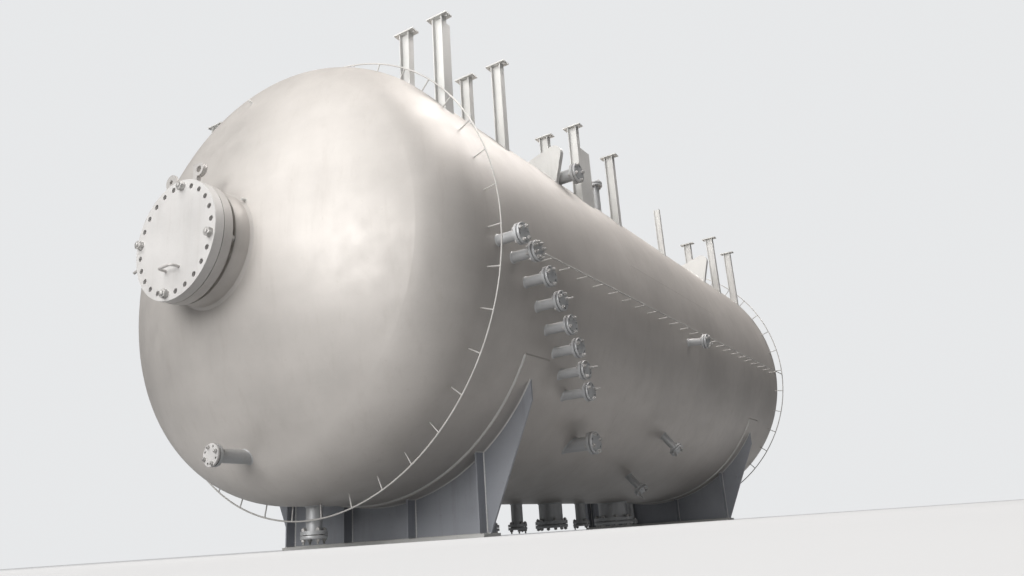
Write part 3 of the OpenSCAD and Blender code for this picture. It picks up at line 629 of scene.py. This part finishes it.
def make_manway_bolts(material):
    """Four studs hold the cover, the other holes are empty."""
    shape = Shape()
    place = (Vector((-MANWAY_JOINT, 0, 0)), Z, Y, -X)
    for hole in MANWAY_BOLTED:
        bolt(shape, place, "manway", hole, rng.uniform(8, 14), rng.uniform(6, 10))
        back = hole_centre(place, MANWAY, hole) + X * MANWAY.thickness
        washer(shape, (back, Z, Y, X), WASHER_R, WASHER_T)
    shape.build("manway_bolts", material, "flange_paint")


def make_manway_neck(material):
    """The manway's barrel, with the open groove between it and the back of its flange."""
    shape = Shape()
    edge = FLANGE_BACK - GROOVE_WIDTH
    profile = ((dome_depth(NECK_R) - NECK_FOOT, NECK_R), (edge - GROOVE_EDGE, NECK_R),
               (edge, NECK_R - GROOVE_EDGE), (edge, GROOVE_R), (FLANGE_BACK, GROOVE_R),
               (FLANGE_BACK, NECK_BORE), (dome_depth(NECK_BORE) - NECK_FOOT, NECK_BORE))
    place = (Vector((0, 0, 0)), Z, Y, -X)
    shape.rings([circle(place, r, x, NECK_POINTS) for x, r in profile], closed=True)
    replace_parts(shape.build("manway_neck_grooved", material, "tank_paint"), "manway_neck")


def make_rim_pin(material):
    """The short round pin that stands out of the cover's rim on the far side."""
    out = Vector((0, math.cos(RIM_PIN_ANGLE), math.sin(RIM_PIN_ANGLE)))
    place = (Vector((RIM_PIN_X, 0, 0)), X, out.cross(X), out)
    profile = ((RIM_PIN_START, RIM_PIN_R), (RIM_PIN_END - RIM_PIN_BEVEL, RIM_PIN_R),
               (RIM_PIN_END, RIM_PIN_R - RIM_PIN_BEVEL))
    shape = Shape()
    shape.rings([circle(place, r, z, PIN_POINTS) for z, r in profile])
    shape.build("rim_pin", material, "flange_paint")


def make_pins(material):
    """The short round pins on the domed end, above the manway neck and near the top, with welds."""
    shape = Shape()
    for height, side, length, square in PINS:
        foot = hit(Vector((PIN_SEARCH, side, height)), X, in_dome)
        out = dome_normal(foot) if square else -X
        ex = out.cross(Y).normalized()
        ey = out.cross(ex)
        place = (foot, ex, ey, out)
        profile = ((-6, PIN_R), (length - 3, PIN_R), (length - 0.8, PIN_R - 0.8),
                   (length, PIN_R - 2.6), (length - 4, PIN_R - 3.4), (length - 9, 2.0))
        shape.rings([circle(place, r, depth, PIN_POINTS) for depth, r in profile])
        clear = (foot + out * PIN_ROOM, ex, ey, out)
        fillet(shape, joint_path(clear, circle_outline(PIN_R, PIN_SPACING), "dome"), PIN_LEG)
    shape.build("head_pins", material, "tank_paint")


# Weld beads

def make_branch_welds(material):
    shape = Shape()
    for branch in BRANCHES.values():
        neck = FLANGES[branch.kind].neck / 2
        leg = BRANCH_LEG if neck < WIDE_NECK else WIDE_BRANCH_LEG
        outline = circle_outline(neck, BRANCH_SPACING)
        fillet(shape, joint_path(branch.place, outline, branch.surface), leg)
    shape.build("branch_welds", material, "branch_paint")


def make_manway_weld(material):
    """The wide smooth fillet where the manway neck meets the domed end."""
    shape = Shape()
    place = (Vector((NECK_SEARCH, 0, 0)), Z, Y, -X)
    path = joint_path(place, circle_outline(NECK_R, NECK_SPACING), "dome")
    fillet(shape, path, MANWAY_LEG, bulge=-0.06, ripple=0.02)
    shape.build("manway_weld", material, "tank_paint")


def girth_path(x):
    """A path round the body for its butt weld."""
    n = int(2 * math.pi * BODY_R / SEAM_STEP)
    rows = []
    for i in range(n):
        t = 2 * math.pi * i / n
        up = Vector((0, math.cos(t), math.sin(t)))
        rows.append((Vector((x, 0, 0)) + up * BODY_R, X, up))
    return rows


def course_path(start, end, height):
    """A path along the near side of one course, so high above the centre line."""
    up = Vector((0, -surf(height), height)).normalized()
    n = int((end - start) / SEAM_STEP)
    return [(up * BODY_R + X * (start + (end - start) * i / n), up.cross(X), up) for i in range(n + 1)]


def make_seams(material):
    """Butt welds between the body's courses and along each course; those of the ends are ground flush."""
    shape = Shape()
    for x in SEAM_X:
        seam(shape, girth_path(x), GIRTH_WIDTH, SEAM_HEIGHT)
    starts = (SEAM_END,) + tuple(x + SEAM_STOP for x in SEAM_X)
    ends = tuple(x - SEAM_STOP for x in SEAM_X) + (BODY_LEN - SEAM_END,)
    for start, end, height in zip(starts, ends, COURSE_HEIGHTS):
        seam(shape, course_path(start, end, height), COURSE_WIDTH, SEAM_HEIGHT, closed=False)
    shape.build("seam_welds", material, "tank_paint")


def i_section(w, d):
    """Corners of an I-section, width w along the tank and depth d across it."""
    a, b, f, h = w / 2, d / 2, POST_FLANGE, POST_WEB / 2
    return [(-a, -b), (a, -b), (a, f - b), (h, f - b), (h, b - f), (a, b - f), (a, b), (-a, b),
            (-a, b - f), (-h, b - f), (-h, f - b), (-a, f - b)]


def oblong(a, b):
    """Corners of an oblong with half sides a and b."""
    return [(-a, -b), (a, -b), (a, b), (-a, b)]


def post_sections():
    """Rows of (x, side, corners) for every post and side plate of one side."""
    rows = [(x, POST_OUTER, i_section(POST_W, POST_D)) for x in OUTER_X]
    rows += [(x, POST_INNER, i_section(POST_W, POST_D)) for x in INNER_X]
    rows.append((LOW_POST_X, POST_OUTER, i_section(LOW_POST_W, LOW_POST_D)))
    for x, length in SIDE_PLATES:
        a, b = length / 2, SIDE_PLATE_T / 2
        rows.append((x + POST_W / 2 + SIDE_PLATE_GAP + a, POST_OUTER + POST_D / 2 - b, oblong(a, b)))
    return rows


def make_post_welds(material):
    shape = Shape()
    for x, y, corners in post_sections():
        for s in (-1, 1):
            place = (Vector((x, s * y, POST_SEARCH)), X, Y, Z)
            fillet(shape, joint_path(place, corner_outline(corners, POST_SPACING)), POST_LEG)
    shape.build("post_welds", material, "bracket_paint")


def make_lug_welds(material):
    shape = Shape()
    outline = corner_outline(oblong(LUG_T / 2, LUG_FOOT), LUG_SPACING)
    for x in LUG_X:
        for s in (-1, 1):
            out = Vector((0, s * math.cos(LUG_ANGLE), math.sin(LUG_ANGLE)))
            place = (Vector((x, 0, 0)) + out * LUG_SEARCH, X, out.cross(X), out)
            fillet(shape, joint_path(place, outline), LUG_LEG)
    shape.build("lug_welds", material, "bracket_paint")


def make_saddle_welds(material, plate_material):
    """Fillets of both saddles. Those round the wear plates take the body's paint, apart from
    the front edges; these and the other saddle welds take the pale bracket paint, a painted highlight on the
    weld lines."""
    shape, plates = Shape(), Shape()
    low, high = -math.pi + WEAR_END, -WEAR_END
    web_low, web_high = -math.pi + HORN_END, -HORN_END
    for x in SADDLE_X:
        for s in (-1, 1):
            edge = x + s * WEAR_WIDTH / 2
            fillet(shape if s < 0 else plates, arc_path(edge, BODY_R, low, high, X * s), WEAR_LEG,
                   closed=False)
            face = x + s * WEB_T / 2
            fillet(shape, arc_path(face, WEAR_R, web_low, web_high, X * s), WEB_LEG, closed=False)
            foot = Vector((face, -WEB_FOOT, BASE_TOP))
            fillet(shape, line_path(foot, Vector((face, WEB_FOOT, BASE_TOP)), X * s, Z), RIB_LEG,
                   closed=False)
            for y in RIB_SIDES:
                add_rib_welds(shape, face, y, s)
        for end in (low, high):
            up = Vector((0, math.cos(end), math.sin(end)))
            away = Vector((0, -math.sin(end), math.cos(end))) * (-1 if end == low else 1)
            half = X * (WEAR_WIDTH / 2)
            foot = Vector((x, 0, 0)) + up * BODY_R
            fillet(plates, line_path(foot - half, foot + half, away, up), WEAR_LEG, closed=False)
    # the pale bracket paint of these welds is a painted highlight
    shape.build("saddle_welds_painted_highlight", material, "bracket_paint")
    plates.build("wear_plate_welds", plate_material, "tank_paint")


def add_rib_welds(shape, face, y, s):
    """Fillets of one rib: to the web, to the base plate and to the wear plate."""
    far = face + s * RIB_DEPTH
    for t in (-1, 1):
        ry = y + t * RIB_T / 2
        top = -math.sqrt(WEAR_R ** 2 - ry ** 2)
        corner = Vector((face, ry, BASE_TOP))
        fillet(shape, line_path(corner, Vector((face, ry, top)), X * s, Y * t), RIB_LEG, closed=False)
        fillet(shape, line_path(corner, Vector((far, ry, BASE_TOP)), Z, Y * t), RIB_LEG, closed=False)
        down = Vector((0, ry, top)).normalized()
        along = (Y * t - down * down.y * t).normalized()
        fillet(shape, line_path(Vector((face, ry, top)), Vector((far, ry, top)), down, along),
               RIB_LEG, closed=False)
    a = Vector((far, y - RIB_T / 2, BASE_TOP))
    b = Vector((far, y + RIB_T / 2, BASE_TOP))
    fillet(shape, line_path(a, b, X * s, Z), RIB_END_LEG, closed=False)


def make_clip_welds(material):
    """Small fillets where the clips meet the body, and blobs where they meet the bars."""
    shape = Shape()
    for x in RING_X:
        for i in range(CLIPS):
            t = math.radians(CLIP_START + i * CLIP_ANGLE)
            out = Vector((0, math.cos(t), math.sin(t)))
            add_clip_welds(shape, (Vector((x, 0, 0)), X, out.cross(X), out), RING_R - RING_BAR / 2)
    tip = math.sqrt(RING_R ** 2 - BAR_DROP ** 2) - RING_BAR / 2
    for s in (-1, 1):
        for i in range(BAR_CLIPS):
            x = BAR_START + BAR_CLIP_FIRST + i * BAR_CLIP_STEP
            add_clip_welds(shape, (Vector((x, 0, -BAR_DROP)), X, Z, Y * s), tip)
    shape.build("clip_welds", material, "standoff_paint")


def add_clip_welds(shape, place, tip):
    """Both welds of one clip that ends tip from its place."""
    origin, ex, ey, out = place
    outline = circle_outline(CLIP_BAR / 2, CLIP_SPACING, CLIP_POINTS)
    clear = (origin + out * (BODY_R + CLIP_SEARCH), ex, ey, out)
    fillet(shape, joint_path(clear, outline), CLIP_LEG)
    profile = ((-7, 0.0), (-4, 0.8), (-1.5, 1.8), (1.5, 2.0), (4, 1.0))
    shape.rings([circle(place, CLIP_BAR / 2 + grow, tip + depth, CLIP_POINTS)
                 for depth, grow in profile])


# Finishes

class Nodes:
    """Small helper for writing a node material."""

    def __init__(self, name):
        self.material = bpy.data.materials.new(name)
        self.material.use_nodes = True
        self.tree = self.material.node_tree
        self.shader = self.tree.nodes["Principled BSDF"]
        self.coords = self.tree.nodes.new("ShaderNodeTexCoord").outputs["Object"]

    def link(self, a, b):
        self.tree.links.new(a, b)

    def noise(self, scale, detail=4.0, rough=0.55, stretch=None, seed=0.0):
        """Noise in object space; scale is in repeats a metre."""
        node = self.tree.nodes.new("ShaderNodeTexNoise")
        node.inputs["Scale"].default_value = scale
        node.inputs["Detail"].default_value = detail
        node.inputs["Roughness"].default_value = rough
        place = self.tree.nodes.new("ShaderNodeMapping")
        place.inputs["Location"].default_value = (seed, seed * 0.7, seed * 1.3)
        if stretch:
            place.inputs["Scale"].default_value = stretch
        self.link(self.coords, place.inputs["Vector"])
        self.link(place.outputs["Vector"], node.inputs["Vector"])
        return node.outputs["Fac"]

    def ramp(self, value, stops):
        """Maps a value to grey levels or colours at the given places."""
        node = self.tree.nodes.new("ShaderNodeValToRGB")
        elements = node.color_ramp.elements
        while len(elements) < len(stops):
            elements.new(0.5)
        for element, (place, colour) in zip(elements, stops):
            element.position = place
            if isinstance(colour, float):
                colour = (colour, colour, colour)
            element.color = (*colour, 1)
        self.link(value, node.inputs["Fac"])
        return node.outputs["Color"]

    def mix(self, factor, a, b, kind="MIX"):
        """Mixes two colours, each a socket or a plain colour."""
        node = self.tree.nodes.new("ShaderNodeMix")
        node.data_type = "RGBA"
        node.blend_type = kind
        if isinstance(factor, float):
            node.inputs["Factor"].default_value = factor
        else:
            self.link(factor, node.inputs["Factor"])
        for value, name in ((a, "A"), (b, "B")):
            socket = [s for s in node.inputs if s.name == name and s.type == "RGBA"][0]
            if isinstance(value, tuple):
                socket.default_value = (*value, 1)
            else:
                self.link(value, socket)
        return [s for s in node.outputs if s.type == "RGBA"][0]

    def bump(self, height, distance, strength, normal=None):
        node = self.tree.nodes.new("ShaderNodeBump")
        node.inputs["Distance"].default_value = distance
        node.inputs["Strength"].default_value = strength
        self.link(height, node.inputs["Height"])
        if normal:
            self.link(normal, node.inputs["Normal"])
        return node.outputs["Normal"]

    def seen_directly(self):
        """One for what the camera, a mirror or glass shows, zero for light thrown on other things."""
        path = self.tree.nodes.new("ShaderNodeLightPath")
        total = path.outputs["Is Camera Ray"]
        for name in ("Is Glossy Ray", "Is Transmission Ray"):
            add = self.tree.nodes.new("ShaderNodeMath")
            add.operation = "MAXIMUM"
            self.link(total, add.inputs[0])
            self.link(path.outputs[name], add.inputs[1])
            total = add.outputs["Value"]
        return total

    def facing_up(self):
        """How far a surface looks up, from 0 to 1."""
        geometry = self.tree.nodes.new("ShaderNodeNewGeometry")
        split = self.tree.nodes.new("ShaderNodeSeparateXYZ")
        self.link(geometry.outputs["Normal"], split.inputs["Vector"])
        return split.outputs["Z"]


DUST = (0.47, 0.44, 0.40)
RUST = (0.20, 0.11, 0.06)


def shade(colour, *factors):
    """A colour with each of its parts times a factor, or all three times the only one."""
    if len(factors) == 1:
        factors = factors * 3
    return tuple(min(c * f, 1.0) for c, f in zip(colour, factors))


def painted(name, colour, rough=0.42, metal=0.25, dust=0.35, seed=0.0, grime=0.35):
    """Sprayed silver-grey paint on steel: cloudy tone and spray bands, fine flake, grime that runs
    down, dust on what faces up, and the plate's waves and the paint's peel in the bump."""
    n = Nodes(name)
    clouds = n.ramp(n.noise(0.9, 5, 0.6, None, seed),
                    [(0.34, shade(colour, 0.91)), (0.62, shade(colour, 1.07))])
    bands = n.ramp(n.noise(1.0, 4, 0.55, (0.35, 0.35, 3.2), seed + 2), [(0.32, 0.93), (0.68, 1.0)])
    flake = n.ramp(n.noise(320.0, 2, 0.5, None, seed), [(0.3, 0.90), (0.7, 1.0)])
    tone = n.mix(0.8, n.mix(0.8, clouds, bands, "MULTIPLY"), flake, "MULTIPLY")
    runs = n.ramp(n.noise(5.0, 6, 0.66, (2.4, 2.4, 0.22), seed + 3), [(0.54, 0.0), (0.78, grime)])
    tone = n.mix(runs, tone, shade(colour, 0.62, 0.59, 0.56))
    spots = n.ramp(n.noise(34.0, 3, 0.6, None, seed + 7), [(0.66, 0.0), (0.74, grime)])
    tone = n.mix(spots, tone, shade(colour, 0.66, 0.62, 0.58))
    dust_mask = n.mix(1.0, n.ramp(n.facing_up(), [(0.15, 0.0), (0.9, dust)]),
                      n.ramp(n.noise(7.0, 5, 0.7, None, seed + 9), [(0.3, 0.25), (0.65, 1.0)]), "MULTIPLY")
    n.link(n.mix(dust_mask, tone, DUST), n.shader.inputs["Base Color"])
    n.shader.inputs["Metallic"].default_value = metal
    gloss = n.ramp(n.noise(5.5, 5, 0.62, None, seed + 5), [(0.3, rough - 0.05), (0.7, rough + 0.09)])
    n.link(n.mix(dust_mask, gloss, (0.8, 0.8, 0.8)), n.shader.inputs["Roughness"])
    peel = n.bump(n.noise(190.0, 2, 0.5, None, seed), 0.0006, 0.35)
    wave = n.bump(n.noise(2.4, 3, 0.5, None, seed + 1), 0.004, 0.2, peel)
    n.link(wave, n.shader.inputs["Normal"])
    return n.material


def rubber(name, colour):
    """Dull black rubber of the gaskets."""
    n = Nodes(name)
    tone = n.ramp(n.noise(60.0, 4, 0.6), [(0.3, shade(colour, 0.7)), (0.7, colour)])
    n.link(tone, n.shader.inputs["Base Color"])
    n.link(n.ramp(n.noise(90.0, 3, 0.6), [(0.3, 0.62), (0.7, 0.85)]), n.shader.inputs["Roughness"])
    n.link(n.bump(n.noise(300.0, 3, 0.6), 0.0004, 0.4), n.shader.inputs["Normal"])
    return n.material


def bolting(name, colour, metal):
    """Plated and half painted steel of the studs and nuts, grimy in patches."""
    n = Nodes(name)
    bare = n.ramp(n.noise(28.0, 5, 0.65), [(0.35, shade(colour, 0.55)), (0.65, colour)])
    rust = n.ramp(n.noise(75.0, 5, 0.7, None, 4.0), [(0.6, 0.0), (0.74, 0.55)])
    n.link(n.mix(rust, bare, RUST), n.shader.inputs["Base Color"])
    n.shader.inputs["Metallic"].default_value = metal
    n.link(n.ramp(n.noise(50.0, 4, 0.6), [(0.3, 0.34), (0.7, 0.6)]), n.shader.inputs["Roughness"])
    n.link(n.bump(n.noise(220.0, 3, 0.6), 0.0004, 0.4), n.shader.inputs["Normal"])
    return n.material


# finish of each material slot: colour, roughness, metal, dust, seed of its noise, grime
FINISHES = {
    "tank_paint": painted("tank_finish", (0.53, 0.505, 0.48), 0.46, 0.24, 0.22, 0.0, 0.22),
    "flange_paint": painted("flange_finish", (0.54, 0.525, 0.51), 0.46, 0.25, 0.2, 11.0, 0.3),
    "branch_paint": painted("branch_finish", (0.49, 0.50, 0.51), 0.42, 0.30, 0.4, 23.0, 0.4),
    "standoff_paint": painted("standoff_finish", (0.60, 0.59, 0.57), 0.5, 0.15, 0.3, 31.0, 0.3),
    "bracket_paint": painted("bracket_finish", (0.66, 0.66, 0.645), 0.46, 0.18, 0.35, 43.0, 0.35),
    "saddle_paint": painted("saddle_finish", (0.345, 0.36, 0.395), 0.46, 0.25, 0.45, 57.0, 0.45),
    "gasket": rubber("gasket_finish", (0.12, 0.12, 0.12)),
}
# paler copy of the paint on the covers that face the lamps: painted light
COVER_PAINTED_LIGHT = painted("cover_painted_light_finish", (0.66, 0.65, 0.64), 0.48, 0.15, 0.2, 71.0, 0.25)
BOLT_FINISH = bolting("bolt_finish", (0.60, 0.59, 0.575), 0.35)
# pieces whose finish differs from the rest of their slot: the paler paint of the covers and base plates is
# painted light, the wear plates take the body's paint
OWN_AND_PAINTED_LIGHT_FINISHES = {
    "manway_cover": COVER_PAINTED_LIGHT,
    "head_branch_cover": COVER_PAINTED_LIGHT,
    "front_wear_plate": FINISHES["tank_paint"],
    "rear_wear_plate": FINISHES["tank_paint"],
    # the base plates take the pale bracket paint, a painted highlight where their front edges catch the
    # light
    "front_base": FINISHES["bracket_paint"],
    "rear_base": FINISHES["bracket_paint"],
}


def finish_cad_nodes():
    """Gives every CAD node the finish of its slot in the record, or its own from the table above, where the
    paler paint of the covers and base plates is painted light.
    """
    slots = {part["node"]: part["material_slot"] for part in frame["record"]["subparts"]}
    for name, node in frame["nodes"].items():
        material = OWN_AND_PAINTED_LIGHT_FINISHES.get(name, FINISHES[slots[name]])
        for place in node.material_slots:
            place.material = material
        if not node.material_slots:
            node.data.materials.append(material)


# Stage, light and camera, in metres

FLOOR_HALF = 60.0
# the floor's colour for the light that it throws back, and what it adds where it is seen
FLOOR_BOUNCE = (0.22, 0.22, 0.22)
FLOOR_GLOW = (0.29, 0.294, 0.298)
WORLD_LIGHT, WORLD_STRENGTH = (0.95, 0.97, 1.0), 0.12
BACKDROP = (0.80, 0.81, 0.82)
CLIP_NEAR, CLIP_FAR = 0.05, 200.0
# name, place, aim, size, watts, colour
LIGHTS = (
    ("key_light", (-11.4, 1.2, 10.6), (-4.4, -0.4, 2.6), (10, 9), 900, (1.0, 0.985, 0.965)),
    ("front_light", (-16.5, -2.0, 4.5), (-4.5, 0.0, 2.0), (9, 6), 1270, (1.0, 0.985, 0.97)),
    ("top_light", (1.0, -3.6, 12.0), (0.5, -0.3, 2.2), (12, 5), 1450, (1.0, 0.955, 0.925)),
    ("side_light", (4.0, -14.0, 6.0), (1.0, 0.0, 1.8), (10, 6), 25, (1.0, 0.98, 0.96)),
    ("back_light", (12.0, 9.0, 9.0), (1.0, 0.0, 2.2), (9, 7), 500, (0.97, 0.98, 1.0)),
)


def make_stage():
    """A plain pale floor: the camera sees it pale, the tank gets little light from it."""
    mesh = bpy.data.meshes.new("floor")
    corners = [(x, y, 0) for x, y in oblong(FLOOR_HALF, FLOOR_HALF)]
    mesh.from_pydata(corners, [], [(0, 1, 2, 3)])
    floor = bpy.data.objects.new("floor", mesh)
    bpy.context.scene.collection.objects.link(floor)
    n = Nodes("floor_finish")
    tone = n.ramp(n.noise(0.6, 4, 0.6), [(0.3, 0.34), (0.7, 0.37)])
    seen = n.seen_directly()
    n.link(n.mix(seen, FLOOR_BOUNCE, tone), n.shader.inputs["Base Color"])
    n.link(n.mix(seen, (0.0, 0.0, 0.0), FLOOR_GLOW), n.shader.inputs["Emission Color"])
    n.shader.inputs["Emission Strength"].default_value = 1.0
    n.shader.inputs["Roughness"].default_value = 0.8
    mesh.materials.append(n.material)


def make_world():
    """A pale backdrop for the camera and a softer light for the tank."""
    world = bpy.data.worlds.new("world")
    bpy.context.scene.world = world
    world.use_nodes = True
    tree = world.node_tree
    light = tree.nodes["Background"]
    light.inputs["Color"].default_value = (*WORLD_LIGHT, 1)
    light.inputs["Strength"].default_value = WORLD_STRENGTH
    seen = tree.nodes.new("ShaderNodeBackground")
    seen.inputs["Color"].default_value = (*BACKDROP, 1)
    seen.inputs["Strength"].default_value = 1.0
    path = tree.nodes.new("ShaderNodeLightPath")
    mix = tree.nodes.new("ShaderNodeMixShader")
    tree.links.new(path.outputs["Is Camera Ray"], mix.inputs["Fac"])
    tree.links.new(light.outputs["Background"], mix.inputs[1])
    tree.links.new(seen.outputs["Background"], mix.inputs[2])
    tree.links.new(mix.outputs["Shader"], tree.nodes["World Output"].inputs["Surface"])


def area_light(name, place, aim, size, watts, colour):
    data = bpy.data.lights.new(name, "AREA")
    data.shape = "RECTANGLE"
    data.size, data.size_y = size
    data.energy = watts
    data.color = colour
    lamp = bpy.data.objects.new(name, data)
    bpy.context.scene.collection.objects.link(lamp)
    way = Vector(aim) - Vector(place)
    lamp.matrix_world = Matrix.Translation(Vector(place)) @ way.to_track_quat("-Z", "Y").to_matrix().to_4x4()


def make_lights():
    for row in LIGHTS:
        area_light(*row)


def make_camera():
    """The camera that took the photograph, solved from the tank's outlines."""
    data = bpy.data.cameras.new("camera")
    data.sensor_width = SENSOR_MM
    data.sensor_fit = "HORIZONTAL"
    data.lens = FOCAL_PIXELS / IMAGE_WIDTH * SENSOR_MM
    data.clip_start = CLIP_NEAR
    data.clip_end = CLIP_FAR
    camera = bpy.data.objects.new("camera", data)
    bpy.context.scene.collection.objects.link(camera)
    forward = Vector((
        math.cos(CAMERA_PITCH) * math.cos(CAMERA_YAW),
        math.cos(CAMERA_PITCH) * math.sin(CAMERA_YAW),
        math.sin(CAMERA_PITCH),
    ))
    right = forward.cross(Z).normalized()
    up = right.cross(forward)
    c = math.cos(CAMERA_ROLL)
    s = math.sin(CAMERA_ROLL)
    turn = Matrix((right * c + up * s, up * c - right * s, -forward)).transposed()
    camera.matrix_world = Matrix.Translation(CAMERA_PLACE) @ turn.to_4x4()
    bpy.context.scene.camera = camera


finish_cad_nodes()
make_covers(FINISHES["branch_paint"])
make_branch_bolts(BOLT_FINISH)
make_level_studs(BOLT_FINISH)
make_manway_bolts(BOLT_FINISH)
make_branch_welds(FINISHES["branch_paint"])
make_manway_neck(FINISHES["tank_paint"])
make_manway_weld(FINISHES["tank_paint"])
make_seams(FINISHES["tank_paint"])
make_post_welds(FINISHES["bracket_paint"])
make_lug_welds(FINISHES["bracket_paint"])
# the saddle welds' bracket paint is a painted highlight; the wear plates' other welds keep the body's paint
make_saddle_welds(FINISHES["bracket_paint"], FINISHES["tank_paint"])
make_clip_welds(FINISHES["standoff_paint"])
make_pins(FINISHES["bracket_paint"])
make_rim_pin(FINISHES["flange_paint"])
make_stage()
make_world()
make_lights()
make_camera()
bpy.context.scene.view_settings.view_transform = "Standard"
